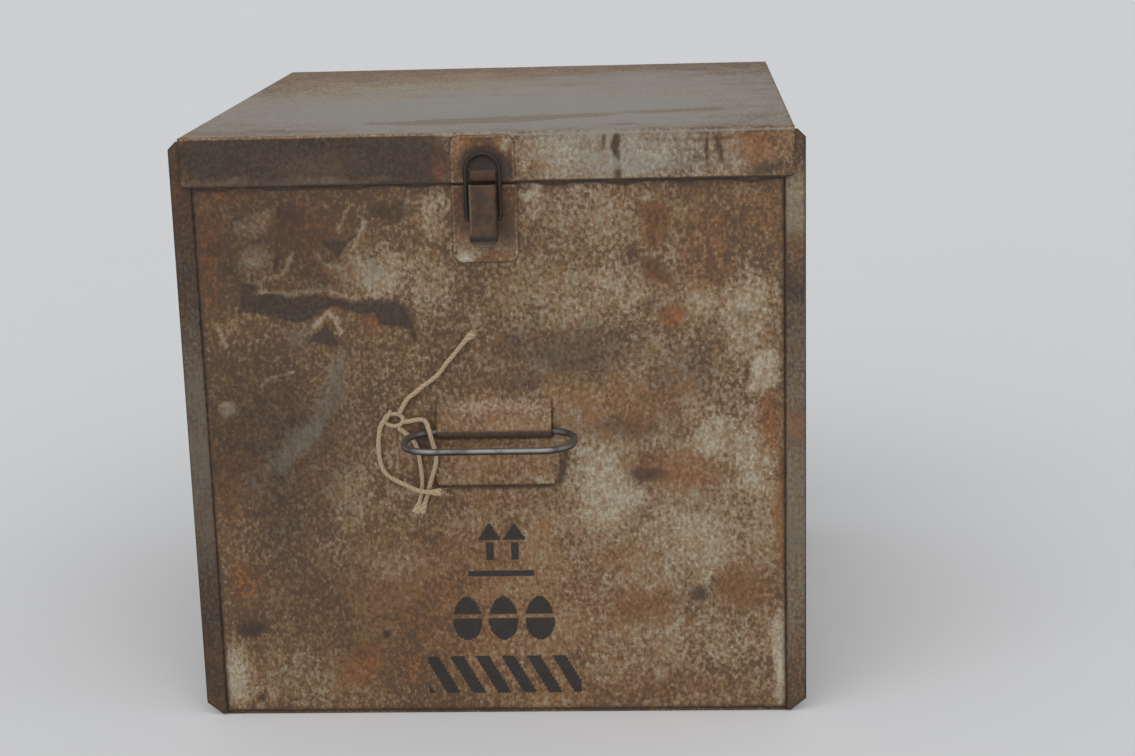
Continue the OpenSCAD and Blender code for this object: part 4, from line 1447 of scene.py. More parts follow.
@dataclass
class Lid:
    """The lid: one sheet folded down as a hemmed front skirt and a short rear skirt, with side hems.

    Attributes:
        wall_t: Thickness of the modelled sheet, a little less than the real one so that folds stay apart.
        columns: How many grid lines run from front to back.
        bright_x: Where the front fold starts to be worn bright and where it is so fully.
        fold_mm: Width over which the marks along the front fold die out.
        hem_shadow_mm: The same for the painted shadow line along the front hem.
    """

    top_marks: tuple[Mark, ...]
    skirt_marks: tuple[Mark, ...]
    wall_t: float = 0.75
    hem_h: float = 8.0
    bend: float = 1.5
    corner_r: float = 3.0
    rear_half: float = 148.2
    rear_h: float = 14.0
    columns: int = 171
    bright_x: Pair = (-34.0, -20.0)
    fold_mm: float = 1.2
    fold_worn: float = 1.2
    fold_rust: float = 0.6
    fold_soot: float = 0.3
    hem_shadow_mm: float = 0.5
    hem_shadow: float = 0.9
    hem_underside_shade: float = 0.95
    waves: Waves = Waves(0.5, (55.0, 49.0), (1.0, 0.0))

    def profile(self) -> tuple[Array, Array]:
        """Draws the lid's profile from the rear skirt over the top and down the front skirt to its hem.

        Returns:
            Its points in Y and Z, and the half width at each, which draws in at the skirt's corners.
        """
        low, high = node_box("lid_panel")
        half, front, rear = high[0], low[1], high[1]
        top, fold_z, r = high[2], low[2] + SHEET_T, self.bend
        rear_z = spaced((top - self.rear_h, 2.0), (top - r, 1.0))
        top_y = spaced((front + r, 2.2), (rear - r, 1.0))[::-1]
        skirt_z = spaced((fold_z, 0.5), (low[2] + self.corner_r, 1.0), (top - r, 1.0))[::-1]
        hem_z = spaced((fold_z, 2.0), (low[2] + self.hem_h, 1.0))
        runs = [
            (np.stack([np.full(len(rear_z), rear), rear_z], 1), self.rear_half),
            (arc((rear - r, top - r), r, 0, 90, 6)[1:-1], self.rear_half),
            (np.stack([top_y, np.full(len(top_y), top)], 1), half - SHEET_T),
            (arc((front + r, top - r), r, 90, 180, 6)[1:-1], half),
            (np.stack([np.full(len(skirt_z), front), skirt_z], 1), half),
            (arc((front + SHEET_T, fold_z), SHEET_T, 180, 360, 7)[1:-1], half - self.corner_r),
            (np.stack([np.full(len(hem_z), front + 2 * SHEET_T), hem_z], 1), half - self.corner_r),
        ]
        path = np.concatenate([p for p, _ in runs])
        wide = np.concatenate([np.full(len(p), w) for p, w in runs])
        drop = np.clip(self.corner_r - (path[:, 1] - low[2]), 0, self.corner_r)
        drawn_in = self.corner_r - np.sqrt(self.corner_r**2 - drop**2)
        return path, wide - np.where(np.abs(path[:, 0] - front) < TINY, drawn_in, 0)

    def masks(self, x: Array, y: Array, z: Array) -> dict[str, Array]:
        """Marks the top, the skirt, the worn or rusty fold between them, and painted shade along the hem.

        Args:
            x: The grid's places across the lid.
            y: Its depths.
            z: Its heights.

        Returns:
            The values by kind of mark.
        """
        low, high = node_box("lid_panel")
        front, fold_z = low[1], high[2] - self.bend
        top_masks, skirt_masks = stain(x, y, self.top_marks), stain(x, z, self.skirt_marks)
        skirt = np.abs(y - front) < TINY
        masks = {key: np.where(skirt, skirt_masks[key], top_masks[key]) for key in top_masks}
        fold = np.exp(-np.abs(z - fold_z) / self.fold_mm) * (y < front + 2 * self.bend)
        bright = smoothstep(*self.bright_x, x)
        # Painted shade on the hem's turned-in rows, and a painted shadow line along the skirt's foot
        under_shade = (z < low[2] + self.hem_h) & (y < high[1] - 1) & ~skirt
        line = self.hem_shadow * np.exp(-np.abs(z - low[2] - SHEET_T) / self.hem_shadow_mm) * skirt
        deepen(masks, Stain.WORN, self.fold_worn * fold * bright)
        masks[Stain.WORN.value] = masks[Stain.WORN.value] * (1 - fold * (1 - bright)) * ~under_shade
        deepen(masks, Stain.RUST, self.fold_rust * fold * (1 - bright))
        deepen(masks, Stain.SOOT, np.maximum(self.fold_soot * fold, np.where(under_shade, self.hem_underside_shade, line)))
        return masks

    def build(self, finishes: Finishes) -> None:
        """Builds the lid: its profile carried along X, with waves on the top, and hems under its sides.

        Args:
            finishes: The built finishes.
        """
        low, high = node_box("lid_panel")
        half, front, rear, top = high[0], low[1], high[1], high[2]
        path, wide = self.profile()
        share = np.linspace(-1, 1, self.columns)
        px, py, pz = np.broadcast_arrays(share * wide[:, None], path[:, :1], path[:, 1:])
        fade = np.clip(4 * (py - front) * (rear - py) / (rear - front) ** 2, 0, 1) * (1 - share**2)
        sag = self.waves.depth * fade * (1 + self.waves.swing(px, py))
        pz = pz - np.where(np.abs(pz - top) < TINY, sag, 0)
        sheet = Surface.of(px, py, pz, flip=True, masks=self.masks(px, py, pz))
        turn = arc((half - SHEET_T, top - SHEET_T), SHEET_T, 90, -90, 7)
        hem = np.concatenate([turn, [(half - self.hem_h, top - 2 * SHEET_T)]])
        hem_y = spaced((front + self.bend, 5.0), (rear - SHEET_T, 1.0))
        side = Surface.of(hem[:, :1], hem_y, hem[:, 1:], flip=True)
        surfaces = [sheet, side, side.mirrored((-1, 1, 1))]
        make_piece("lid_panel", "lid", surfaces, finishes.sheet, self.wall_t)


@dataclass
class Handle:
    """A wire handle: one closed loop of round wire with four round corners.

    Attributes:
        node: The CAD node that it stands for, which is also its body.
        sides: How many points a ring of the wire has.
        under_shade: Level of the painted shade on the wire's underside.
        under_shade_span: Heights from the wire's middle, in radii, at which it starts and is full.
        behind: Level of the darkening near the wall.
        behind_span: Distances from the wall at which it starts and is full.
    """

    node: str
    wire_d: float = 3.5
    corner_r: float = 16.0
    sides: int = 20
    under_shade: float = 0.75
    under_shade_span: Pair = (0.3, -0.5)
    behind: float = 0.4
    behind_span: Pair = (14.0, 2.0)

    def build(self, finishes: Finishes) -> None:
        """Builds the loop: a circle carried along a level rectangle with round corners.

        Args:
            finishes: The built finishes.
        """
        low, high = node_box(self.node)
        r = self.wire_d / 2
        flat = round_rectangle(low[:2] + r, high[:2] - r, (self.corner_r, self.corner_r), 14, 1)
        path = np.insert(flat, 2, (low[2] + high[2]) / 2, axis=1)
        loop = tube(path, r, np.array([0.0, 0.0, 1.0]), self.sides, closed=True)
        up = (loop.points[..., 2] - path[0, 2]) / r
        wall = np.abs(np.abs(loop.points[..., 1]) - min(abs(low[1] + r), abs(high[1] - r)))
        # Painted shade on the wire's underside, and darkening towards the wall
        below, beside = smoothstep(*self.under_shade_span, up), smoothstep(*self.behind_span, wall)
        loop.masks[Stain.SOOT.value] = np.maximum(self.under_shade * below, self.behind * beside)
        make_piece(self.node, self.node, [loop], finishes.wire)


@dataclass
class Latch:
    """The toggle latch: a strike plate with a tongue, a base plate, a channel lever and a wire bail.

    Attributes:
        x: Its place across the crate.
        lever_depth: Depth of the lever's side walls at the bail.
        tail_depth: Their depth where the lever's end begins.
        lip_depth: Their least depth, at the lever's end.
        lip_out: How far the lever's end curls out.
        lever_gap: How far the lever's front stands behind its foremost point.
        depth_up: Heights over the lever's lower end at which its depth changes.
        rim: Inset and depth of the rings of a plate's pressed rim.
        rim_span: Shares of the half size between which a plate's rim gets its painted highlight.
        plate_corners: Radius of a plate's sharp and of its round corners.
        sill_lift: Height of the point in the window that its sides are drawn from, in window radii.
        ear_slope: Slope of an ear's arm, in degrees.
    """

    marks: tuple[Mark, ...]
    x: float = -1.0
    lever_half: float = 7.0
    lever_t: float = 1.2
    lever_corner: float = 4.5
    lever_depth: float = 6.7
    tail_depth: float = 3.7
    lip_depth: float = 1.3
    lip_out: float = 1.1
    lever_gap: float = 1.2
    depth_up: Triple = (4.0, 6.0, 12.0)
    bail_d: float = 2.3
    bail_leg: float = 24.3
    bail_lean: float = 1.05
    bail_bend: float = 1.6
    bail_shade: float = 0.8
    foot_in: float = 3.3
    rim: tuple[Pair, ...] = ((0.0, 0.3), (0.3, 0.0), (1.5, 0.0), (2.0, 0.25), (2.6, 0.25))
    rim_highlight: float = 0.5
    rim_span: Pair = (0.84, 0.95)
    edge_soot: float = 0.9
    plate_corners: Pair = (0.3, 4.5)
    plate_t: float = 1.0
    sill_lift: float = 0.4
    tongue_w: float = 13.4
    tongue_h: float = 6.5
    ear_t: float = 1.2
    ear_in: float = 4.2
    ear_r: float = 1.9
    ear_slope: float = 51.0

    def window(self, sill: Array, radius: float, inner: Array) -> Array:
        """Draws a half round window over a sill, as the place where a line to each rim point meets its edge.

        Args:
            sill: The middle of the sill, in X and Z.
            radius: The window's radius.
            inner: The rim's inner ring of points, in X and Z.

        Returns:
            One point of the window's edge for each point of the ring.
        """
        lift = self.sill_lift * radius
        middle = sill + np.array([0.0, lift])
        heading = unit(inner - middle)
        reach = np.sqrt(radius**2 - (lift * heading[:, 0]) ** 2) - lift * heading[:, 1]
        to_sill = lift / np.maximum(-heading[:, 1], TINY)
        reach = np.where(heading[:, 1] < 0, np.minimum(reach, to_sill), reach)
        return middle + heading * reach[:, None]

    def plate(self, node: str, round_top: bool, window: float = 0.0) -> Surface:
        """Builds a plate with two round corners from rings: its back, its pressed rim and its middle.

        Args:
            node: The CAD node that gives the plate's width, height and outer face.
            round_top: Whether the round corners are at the top.
            window: Radius of the half round window above the tongue, or 0 for none.

        Returns:
            The plate's closed surface.
        """
        box_low, box_high = node_box(node)
        low, high, back = box_low[[0, 2]], box_high[[0, 2]], box_high[1]
        front, floor = back - self.plate_t, back - self.plate_t + self.rim[-1][1]
        radii = self.plate_corners if round_top else self.plate_corners[::-1]
        ring = round_rectangle(low, high, radii, 9, 10)
        centre, half = (low + high) / 2, (high - low) / 2
        rings = [
            np.insert(centre + (ring - centre) * (1 - inset / half), 1, front + depth, axis=1)
            for inset, depth in ((0.0, self.plate_t), *self.rim)
        ]
        inner = rings[-1][:, [0, 2]]
        goal = np.repeat(centre[None], len(ring), 0)
        if window:
            goal = self.window(np.array([centre[0], low[1] + self.tongue_h]), window, inner)
        rings += [np.insert(inner + (goal - inner) * s, 1, floor, axis=1) for s in (0.25, 0.5, 0.75, 1.0)]
        rings.insert(0, np.insert(goal, 1, back, axis=1))
        if window:
            rings.append(rings[0])
        points = np.stack(rings)
        away = np.max(np.abs(points[..., [0, 2]] - centre) / half, axis=-1)
        masks = stain(points[..., 0] - centre[0], points[..., 2], self.marks)
        # Painted highlight along each plate's pressed rim
        deepen(masks, Stain.ZINC, self.rim_highlight * smoothstep(*self.rim_span, away))
        deepen(masks, Stain.SOOT, self.edge_soot * (points[..., 1] > floor + 0.03))
        return Surface(points, wrap=True, masks=masks)

    def ear(self, x: float) -> Surface:
        """Builds an ear of the base plate: an eye round the pin on a sloping arm.

        Args:
            x: Where its left face stands.

        Returns:
            The ear's closed surface.
        """
        pin_low, pin_high = node_box("latch_lever_pin")
        face = panel_face() + self.plate_t
        eye = np.array([-(pin_low[1] + pin_high[1]) / 2 - face, (pin_low[2] + pin_high[2]) / 2])
        tip = arc(tuple(eye), self.ear_r, 90 + self.ear_slope, self.ear_slope - 90, 13)
        fall = np.tan(np.radians(self.ear_slope))
        foot = [(0.0, tip[k, 1] - tip[k, 0] * fall) for k in (0, -1)]
        outline = np.concatenate([[foot[0]], tip, [foot[1]]])
        points = np.stack([np.full(len(outline), x), -face - outline[:, 0], outline[:, 1]], axis=1)
        return prism(points, np.array([self.ear_t, 0.0, 0.0]))

    def tongue(self) -> Surface:
        """Builds the strike plate's tongue: a rounded hook profile drawn out along X.

        Returns:
            Its closed surface.
        """
        low, high = node_box("latch_strike_plate")
        foot, out = low[2], high[1] - low[1]
        profile = rounded([
            (self.plate_t, foot), (out, foot + 0.9), (out, foot + self.tongue_h),
            (self.plate_t, foot + self.tongue_h - 1.0),
        ])
        left = np.full(len(profile), self.x - self.tongue_w / 2)
        outline = np.stack([left, high[1] - profile[:, 0], profile[:, 1]], axis=1)
        tongue = prism(outline, np.array([self.tongue_w, 0.0, 0.0]))
        for kind, level in ((Stain.SOOT, 0.5), (Stain.RUST, 0.4)):
            tongue.masks[kind.value] = np.full(tongue.points.shape[:2], level)
        return tongue

    def build_plates(self, finishes: Finishes) -> None:
        """Builds the base plate with its ears, and the strike plate with its tongue.

        Args:
            finishes: The built finishes.
        """
        ears = [self.ear(self.x + side) for side in (-self.ear_in - self.ear_t, self.ear_in)]
        base, strike = "latch_base_plate", "latch_strike_plate"
        for node, body, surfaces in (
            (base, "crate", [self.plate(base, False), *ears]),
            (strike, "lid", [self.plate(strike, True, self.tongue_w / 2), self.tongue()]),
        ):
            make_piece(node, body, surfaces, finishes.sheet)

    def build_lever(self, finishes: Finishes) -> None:
        """Builds the lever: a channel section of wall, bend, front, bend and wall, carried down its length.

        The walls grow shallower towards the lower end, whose corners are round and whose edge curls out.

        Args:
            finishes: The built finishes.
        """
        low, high = node_box("latch_lever")
        top, bottom, face = high[2], low[2], low[1] + self.lever_gap
        z = spaced((bottom, 0.6), (bottom + 6, 1.0), (top, 1.0))[:, None]
        up = z - bottom
        drop = np.clip(self.lever_corner - up, 0, self.lever_corner)
        half = self.lever_half - (self.lever_corner - np.sqrt(self.lever_corner**2 - drop**2))
        depth = np.interp(up, self.depth_up, (1.0, self.tail_depth, self.lever_depth))
        shape = rounded([(-1.0, 1.0), (-1.0, 0.0), (-0.55, 0.0), (0.55, 0.0), (1.0, 0.0), (1.0, 1.0)])
        curl = self.lip_out * smoothstep(2.6, 0.6, up)
        px = self.x + shape[:, 0] * half
        # Painted highlight along the lever's left edge and on its lip, and painted shade in the crease above
        # the lip
        worn = np.exp(-((px - self.x + half - 0.7) / 0.6) ** 2) * smoothstep(4, 8, up)
        lip_highlight = smoothstep(1.6, 0.4, up)
        crease_shade = np.broadcast_to(np.exp(-((up - 3.6) / 1.9) ** 2), px.shape)
        masks = {Stain.ZINC.value: np.maximum(0.7 * worn, 0.45 * lip_highlight), Stain.SOOT.value: 0.9 * crease_shade}
        py = face - curl + shape[:, 1] * np.maximum(depth, self.lip_depth)
        lever = Surface.of(px, py, z, masks=masks)
        make_piece("latch_lever", "latch_lever", [lever], finishes.steel, self.lever_t)

    def build_bail(self, finishes: Finishes) -> None:
        """Builds the bail: wire along one foot, up a leg, over a half circle and down to the other foot.

        Args:
            finishes: The built finishes.
        """
        low, high = node_box("latch_bail")
        r, bend = self.bail_d / 2, self.bail_bend
        half = (high[0] - low[0]) / 2 - r
        left = np.concatenate([
            [(-half + self.foot_in, 0.0)], arc((-half + bend, bend), bend, 270, 180, 6),
            [(-half, 0.5 * self.bail_leg)],
        ])
        crown = arc((0.0, self.bail_leg), half, 180, 0, 25)
        flat = np.concatenate([left, crown, left[::-1] * np.array([-1, 1])])
        w = np.radians(self.bail_lean)
        along, lean = np.array([0.0, np.sin(w), np.cos(w)]), np.array([0.0, np.cos(w), -np.sin(w)])
        foot = np.array([self.x, low[1] + r, low[2] + r])
        path = foot + flat[:, :1] * np.array([1.0, 0.0, 0.0]) + flat[:, 1:] * along
        wire = tube(path, r, lean, 14)
        # The whole bail is darkened: painted shade, so that it sinks into the dark round the keeper
        wire.masks[Stain.SOOT.value] = np.full(wire.points.shape[:2], self.bail_shade)
        make_piece("latch_bail", "latch_bail", [wire], finishes.steel)

    def build(self, finishes: Finishes) -> None:
        """Builds every piece of the latch that is more than its CAD node.

        Args:
            finishes: The built finishes.
        """
        self.build_plates(finishes)
        self.build_lever(finishes)
        self.build_bail(finishes)


class Tail(Enum):
    """The loose strands of twine, each a CAD node."""

    UPPER = "twine_upper_tail"
    LOWER = "twine_lower_tail"
    FRONT = "twine_front_strand"
    BACK = "twine_back_strand"


@dataclass
class Twine:
    """Remains of twine at the handle's left end: a small open knot and four loose strands with frayed tips.

    Routes hold points in metres: right of the loop's left leg, out from the panel and up from the pivot.

    Attributes:
        lay: Length in which a ply winds once round, in millimetres.
        groove: How much thinner a strand is between its plies, as a share of its radius.
        swell: How far a strand swells and thins along its length, as a share of its radius.
        flare: How much wider a strand's end is, as a share of its radius, over the length flare_mm.
        hairs: How many fibres a tip has.
        hair_r: Radius of a fibre at its root.
        hair_mm: Shortest and longest fibre.
        hair_lean: How far fibres lean apart, as a share of their length.
        hair_curve: The same for how far they bend.
        hair_root: How far their roots lie apart, as a share of the diameter.
        eye_half: Half sizes of the knot's open eye along X, Y and Z.
        hitch_at: The middle of the turn round the eye, from the eye's middle.
        hitch_half: The turn's half sizes.
    """

    diameter: float = 2.4
    plies: int = 3
    lay: float = 10.0
    groove: float = 0.08
    swell: float = 0.09
    swell_mm: Pair = (3.1, 4.7)
    rings_per_mm: float = 1.6
    least_rings: int = 40
    measure_points: int = 200
    cord_points: int = 36
    sides: int = 15
    flare: float = 0.75
    flare_mm: Pair = (7.0, 1.0)
    hairs: int = 34
    hair_r: float = 0.2
    hair_mm: Pair = (1.6, 3.6)
    hair_lean: float = 0.28
    hair_curve: float = 0.45
    hair_root: float = 0.36
    seed: int = 7
    routes: dict[Tail, tuple[Triple, ...]] = field(default_factory=lambda: {
        Tail.UPPER: (
            (-0.0048, 0.0022, 0.0100), (-0.0008, 0.0018, 0.0168), (0.0032, 0.0017, 0.0202),
            (0.0075, 0.0017, 0.0237), (0.0112, 0.0017, 0.0263), (0.0149, 0.0017, 0.0291),
            (0.0178, 0.0017, 0.0322), (0.0201, 0.0017, 0.0355), (0.0228, 0.0017, 0.0385),
            (0.0254, 0.0018, 0.0415), (0.0284, 0.0022, 0.0451), (0.0314, 0.0027, 0.0485),
            (0.0351, 0.0032, 0.0515),
        ),
        Tail.LOWER: (
            (-0.0122, 0.0022, 0.0070), (-0.0148, 0.0018, 0.0030), (-0.0160, 0.0017, -0.0025),
            (-0.0164, 0.0017, -0.0080), (-0.0162, 0.0017, -0.0135), (-0.0149, 0.0017, -0.0195),
            (-0.0120, 0.0017, -0.0235), (-0.0072, 0.0018, -0.0265), (-0.0018, 0.0028, -0.0289),
            (0.0032, 0.0050, -0.0305), (0.0078, 0.0058, -0.0312), (0.0118, 0.0055, -0.0315),
            (0.0152, 0.0048, -0.0317),
        ),
        Tail.FRONT: (
            (-0.0032, 0.0022, 0.0055), (-0.0002, 0.0017, 0.0055), (0.0038, 0.0017, 0.0062),
            (0.0072, 0.0023, 0.0063), (0.0092, 0.0048, 0.0054), (0.0105, 0.0074, 0.0027),
            (0.0115, 0.0086, -0.0003), (0.0121, 0.0080, -0.0037), (0.0129, 0.0066, -0.0075),
            (0.0136, 0.0055, -0.0120), (0.0129, 0.0052, -0.0175), (0.0111, 0.0052, -0.0230),
            (0.0095, 0.0038, -0.0280), (0.0081, 0.0022, -0.0330), (0.0062, 0.0017, -0.0385),
            (0.0042, 0.0017, -0.0435),
        ),
        Tail.BACK: (
            (-0.0058, 0.0022, 0.0025), (-0.0022, 0.0017, -0.0007), (0.0012, 0.0017, -0.0040),
            (0.0035, 0.0017, -0.0085), (0.0044, 0.0017, -0.0140), (0.0050, 0.0017, -0.0195),
            (0.0054, 0.0017, -0.0250), (0.0050, 0.0017, -0.0305), (0.0038, 0.0017, -0.0365),
            (0.0012, 0.0017, -0.0435),
        ),
    })
    knot_at: Triple = (-0.0078, 0.0022, 0.0065)
    eye_half: Triple = (4.7, 0.5, 3.2)
    eye_r: float = 1.1
    hitch_at: Triple = (-2.6, -0.2, 2.6)
    hitch_half: Triple = (0.9, 2.1, 1.9)
    hitch_r: float = 0.9

    def place(self, points: Array) -> Array:
        """Turns route points into the crate's frame, in millimetres.

        Args:
            points: Points of a route.

        Returns:
            The same points as the CAD has them.
        """
        low, high = node_box("front_handle")
        wire = high[2] - low[2]
        p = np.atleast_2d(points) / MM
        x, y, z = low[0] + wire / 2 + p[:, 0], -panel_face() - p[:, 1], (low[2] + high[2]) / 2 + p[:, 2]
        return np.stack([x, y, z], axis=1)

    def laid(self, path: Array) -> Surface:
        """Carries a ring of rounded plies along a path.

        The radius is r (1 - g + g |cos(n (w - 2 pi s / lay) / 2)|) with the groove g, which turns with the
        length s, so that n plies wind round. It swells and thins a little, and the end spreads out flat.

        Args:
            path: The strand's middle line.

        Returns:
            The strand's closed surface.
        """
        s = np.concatenate([[0], np.cumsum(np.linalg.norm(np.diff(path, axis=0), axis=1))])[:, None]
        w = 2 * np.pi * np.arange(self.sides) / self.sides
        crest = np.abs(np.cos(0.5 * self.plies * (w - 2 * np.pi * s / self.lay)))
        swell = 1 + self.swell * np.sin(s / self.swell_mm[0]) * np.sin(s / self.swell_mm[1] + 1.0)
        start, full = s[-1] - np.array(self.flare_mm)
        flare = self.flare * smoothstep(start, full, s) * np.cos(w) ** 2
        radius = 0.5 * self.diameter * (1 - self.groove + self.groove * crest) * (swell + flare)
        body = tube(path, radius, Y_AXIS, self.sides)
        # The ply crests are lighter and the grooves darker: painted shade between the plies
        body.masks["ply"] = np.concatenate([crest[:1], crest, crest[-1:]])
        return body

    def frayed(self, tip: Array, heading: Array, rng: np.random.Generator) -> Surface:
        """Builds a tip's loose fibres: thin tapering tubes that leave the end along curves t d + t^2 k.

        Args:
            tip: The strand's last point.
            heading: The direction it ends in.
            rng: The seeded source of each fibre's lean.

        Returns:
            All fibres of the tip, as one grid whose cells between fibres are left out.
        """
        steps, sides, count = 9, 4, (self.hairs, 1, 3)
        t = np.concatenate([[0.0], np.linspace(0, 1, steps - 2), [1.0]])
        reach = rng.uniform(*self.hair_mm, (self.hairs, 1, 1))
        lean = rng.normal(0, self.hair_lean, count) * np.array([1.0, 0.35, 1.0])
        curve = rng.normal(0, self.hair_curve, count) * np.array([1.0, 0.3, 1.0])
        root = rng.normal(0, self.hair_root * self.diameter, count) * np.array([0.9, 0.25, 0.9])
        along = t[None, :, None]
        line = tip + (root - 1.2 * heading) + reach * (along * (heading + lean) + along**2 * curve)
        line[..., 1] = np.minimum(line[..., 1], tip[1] + 0.9)
        w = 2 * np.pi * np.arange(sides)[:, None] / sides
        spokes = np.cos(w) * unit(np.cross(heading, Y_AXIS)) + np.sin(w) * Y_AXIS
        inside = np.arange(steps) % (steps - 1) > 0
        thin = (self.hair_r * (1 - 0.8 * t) * inside)[None, :, None, None]
        grid = (line[:, :, None] + thin * spokes).reshape(self.hairs * steps, sides, 3)
        keep = np.ones((self.hairs * steps - 1, sides), bool)
        keep[steps - 1::steps] = False
        return Surface(grid, keep=keep, wrap=True, masks={"ply": np.full(grid.shape[:2], 0.9)})

    def knot(self) -> list[Surface]:
        """Builds the knot: an eye that twists a little out of its plane, and one turn round it.

        Returns:
            The eye and the turn.
        """
        w = np.linspace(0, 2 * np.pi, 60, endpoint=False)
        centre = self.place(np.array(self.knot_at))[0]
        eye = centre + np.stack([np.cos(w), np.sin(2 * w), np.sin(w)], axis=1) * np.array(self.eye_half)
        turn = np.stack([np.cos(w), np.sin(w), np.cos(w)], axis=1) * np.array(self.hitch_half)
        hitch = centre + np.array(self.hitch_at) + turn
        loops = []
        for path, radius, hint, crests in (
            (eye, self.eye_r, Y_AXIS, 9), (hitch, self.hitch_r, np.array([0.9, 0.0, -0.45]), 7),
        ):
            loop = tube(path, radius, hint, 12, closed=True)
            ply = np.abs(np.cos(crests * np.append(w, 0.0)))[:, None]
            loop.masks["ply"] = np.broadcast_to(ply, loop.points.shape[:2])
            loops.append(loop)
        return loops

    def build(self, finishes: Finishes) -> None:
        """Builds the knot, and each strand with its frayed tip.

        Args:
            finishes: The built finishes.
        """
        rng = np.random.default_rng(self.seed)
        knot = make_piece("twine_knot", "crate", self.knot(), finishes.twine)
        for tail, route in self.routes.items():
            name = tail.value
            points = self.place(np.array(route))
            length = run_length(through(points, self.measure_points))
            path = through(points, max(self.least_rings, int(length * self.rings_per_mm)))
            tip = self.frayed(path[-1], unit(path[-1] - path[-4]), rng)
            fibres = make_piece(f"{name}_fibres", "crate", [tip], finishes.twine)
            strand = make_piece(name, "crate", [self.laid(path)], finishes.twine)


@dataclass
class CarriedNodes:
    """CAD nodes whose shape stays as it is and that only get a finish.

    Attributes:
        layers: How many layers of egg fillers there are.
    """

    sheet: tuple[str, ...] = ("bottom_panel",)
    steel: tuple[str, ...] = (
        *(f"{side}_hinge_{part}" for side in ("left", "right") for part in ("body_leaf", "lid_leaf", "pin")),
        "hinge_body_rivets", "hinge_lid_rivets", "latch_base_rivets", "latch_lever_pin",
    )
    layers: int = 4

    def dress(self, finishes: Finishes) -> None:
        """Puts each node's finish in its material slots.

        Args:
            finishes: The built finishes.
        """
        cards = []
        for n in range(1, self.layers + 1):
            cards += [f"flat_{n}", f"filler_{n}_long_strips", f"filler_{n}_cross_strips"]
        dressed = ((self.sheet, finishes.sheet), (self.steel, finishes.steel), (cards, finishes.card))
        for names, material in dressed:
            for name in names:
                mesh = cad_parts[name].data
                mesh.materials.clear()
                mesh.materials.append(material)
                LOG.info("%s: dressed", name)


@dataclass(frozen=True)
class Lamp:
    """A distant light.

    Attributes:
        spread: Its apparent size, in degrees.
        turn: Its turn about X, Y and Z, in radians.
    """

    name: str
    strength: float
    spread: float
    turn: Triple

    def build(self) -> None:
        """Adds the light to the scene."""
        data = bpy.data.lights.new(self.name, "SUN")
        data.energy = self.strength
        data.angle = np.radians(self.spread)
        lamp = bpy.data.objects.new(self.name, data)
        lamp.rotation_euler = self.turn
        bpy.context.scene.collection.objects.link(lamp)


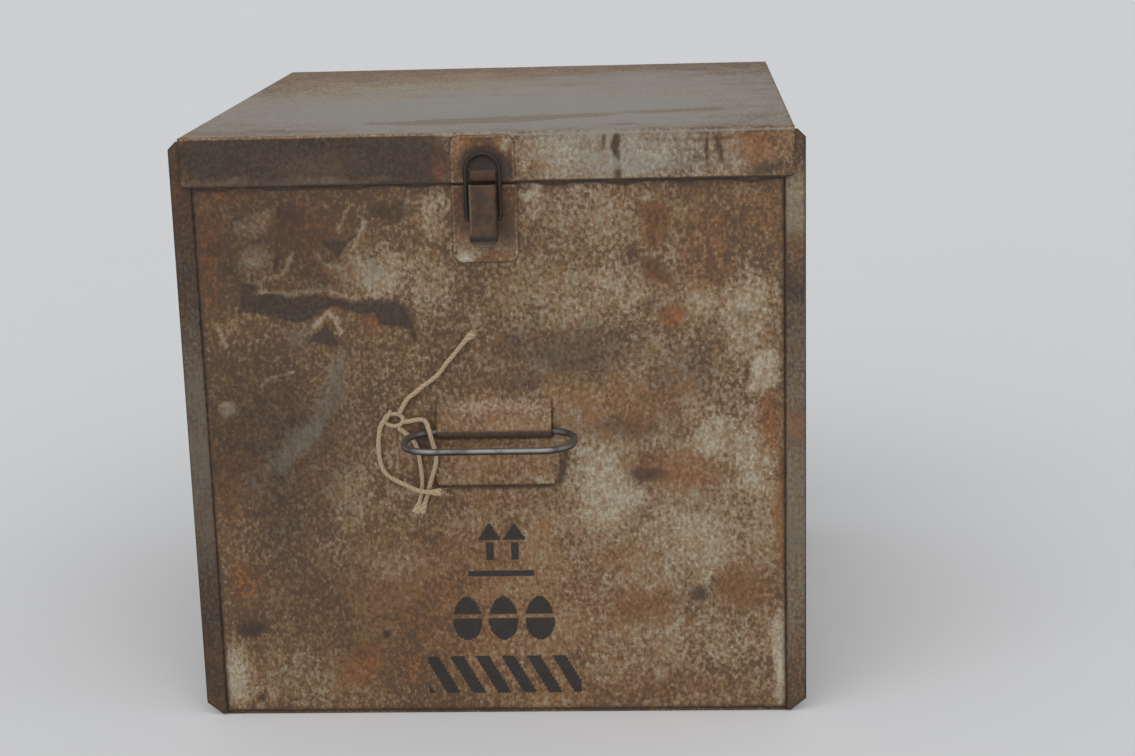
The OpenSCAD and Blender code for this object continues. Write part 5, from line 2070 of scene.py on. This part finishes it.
@dataclass
class Studio:
    """A pale floor, soft light from the upper left and a camera at the photograph's angle.

    Attributes:
        lens: Focal length over the sensor, in millimetres.
        eye: The camera's place, in millimetres.
        pitch: How far it looks down, in radians.
        yaw: How far it looks to the left, in radians.
        roll: Its roll, in radians.
        floor: The floor's colour, which drifts towards the colour in floor_drift.
        sky_level: Strength of the sky's light, which the backdrop itself does not show.
        floor_reach: Half the floor's width, in millimetres.
    """

    lens: float = 67.41
    sensor: float = 36.0
    clip: Pair = (0.01, 100.0)
    eye: Triple = (95.16, -1213.80, 440.23)
    pitch: float = 0.24070
    yaw: float = -0.05433
    roll: float = -0.02822
    floor: str = "#d8d8d8"
    floor_drift: str = "#8f8f90"
    floor_rough: float = 0.85
    sky: str = "#eef1f6"
    backdrop: str = "#cdcfd2"
    sky_level: float = 0.58
    floor_reach: float = 9000.0
    lamps: tuple[Lamp, ...] = (
        Lamp("key", 1.7, 85.0, (0.96, 0.0, -0.18)), Lamp("fill", 0.45, 90.0, (1.0, 0.0, 0.7)),
    )

    def camera(self) -> None:
        """Places the camera from its pitch, yaw and roll."""
        a, b, g = self.pitch, self.yaw, self.roll
        ahead = np.array([np.sin(b) * np.cos(a), np.cos(b) * np.cos(a), -np.sin(a)])
        right = np.array([np.cos(b), -np.sin(b), 0.0])
        up = np.cross(right, ahead)
        across = right * np.cos(g) + up * np.sin(g)
        upward = up * np.cos(g) - right * np.sin(g)
        data = bpy.data.cameras.new("photograph_camera")
        data.lens, data.sensor_width, data.sensor_fit = self.lens, self.sensor, "HORIZONTAL"
        data.clip_start, data.clip_end = self.clip
        camera = bpy.data.objects.new("photograph_camera", data)
        matrix = np.eye(4)
        matrix[:3] = np.stack([across, upward, -ahead, np.array(self.eye) * MM], axis=1)
        camera.matrix_world = Matrix(matrix.tolist())
        bpy.context.scene.collection.objects.link(camera)
        bpy.context.scene.camera = camera

    def lights(self) -> None:
        """Lights the crate with an even sky, a soft key from the upper left and a weak fill from the right.

        The camera, reflections and what shines through see a plain backdrop in place of the sky.
        """
        world = bpy.data.worlds.new("studio_sky")
        bpy.context.scene.world = world
        world.use_nodes = True
        tree = world.node_tree
        ray = add_node(tree, "ShaderNodeLightPath").outputs
        seen = ray["Is Camera Ray"]
        for kind in ("Is Glossy Ray", "Is Transmission Ray"):
            seen = add_node(tree, "ShaderNodeMath", {0: seen, 1: ray[kind]}).outputs[0]
        level = add_node(tree, "ShaderNodeMix", {0: seen, 2: self.sky_level, 3: 1.0}).outputs[0]
        colours = {0: seen, 6: linear(self.sky), 7: linear(self.backdrop)}
        tone = add_node(tree, "ShaderNodeMix", colours, data_type="RGBA").outputs[2]
        background = tree.nodes["Background"]
        tree.links.new(tone, background.inputs["Color"])
        tree.links.new(level, background.inputs["Strength"])
        for lamp in self.lamps:
            lamp.build()

    def ground(self) -> None:
        """Lays the floor: one flat sheet of pale matt paper with a faint drift of tone."""
        material, tree, shader = new_material("pale_floor_paper")
        place = add_node(tree, "ShaderNodeTexCoord").outputs["Object"]
        waves = {"Vector": place, "Scale": 3.0, "Detail": 3.0}
        drift = add_node(tree, "ShaderNodeTexNoise", waves).outputs[0]
        tone = add_node(tree, "ShaderNodeMapRange", {"Value": drift, "To Max": 0.05}).outputs[0]
        colours = {0: tone, 6: linear(self.floor), 7: linear(self.floor_drift)}
        colour = add_node(tree, "ShaderNodeMix", colours, data_type="RGBA").outputs[2]
        tree.links.new(colour, shader.inputs["Base Color"])
        shader.inputs["Roughness"].default_value = self.floor_rough
        reach = self.floor_reach * MM
        corners = [(-reach, -reach, 0), (reach, -reach, 0), (reach, reach, 0), (-reach, reach, 0)]
        mesh = bpy.data.meshes.new("studio_floor")
        mesh.from_pydata(corners, [], [(0, 1, 2, 3)])
        mesh.materials.append(material)
        floor = bpy.data.objects.new("studio_floor", mesh)
        bpy.context.scene.collection.objects.link(floor)

    def build(self) -> None:
        """Sets up the camera, the lights, the floor and the view transform."""
        self.camera()
        self.lights()
        self.ground()
        bpy.context.scene.view_settings.view_transform = "Standard"


def main() -> None:
    """Builds every sub-assembly in order."""
    logging.basicConfig(level=logging.INFO, format="%(name)s: %(message)s")
    finishes = Finishes.build()
    Studio().build()
    Twine().build(finishes)
    HandlePanel("front_panel", "front_handle", FRONT_MARKS, StencilMarks()).build(finishes)
    HandlePanel("back_panel", "back_handle", BACK_MARKS, None, (-1, -1, 1)).build(finishes)
    SidePanel("right_side_panel", 1, RIGHT_MARKS).build(finishes)
    SidePanel("left_side_panel", -1, LEFT_MARKS).build(finishes)
    Lid(TOP_MARKS, SKIRT_MARKS).build(finishes)
    Latch(LATCH_MARKS).build(finishes)
    Handle("front_handle").build(finishes)
    Handle("back_handle").build(finishes)
    CarriedNodes().dress(finishes)


if __name__ == "__main__":
    main()
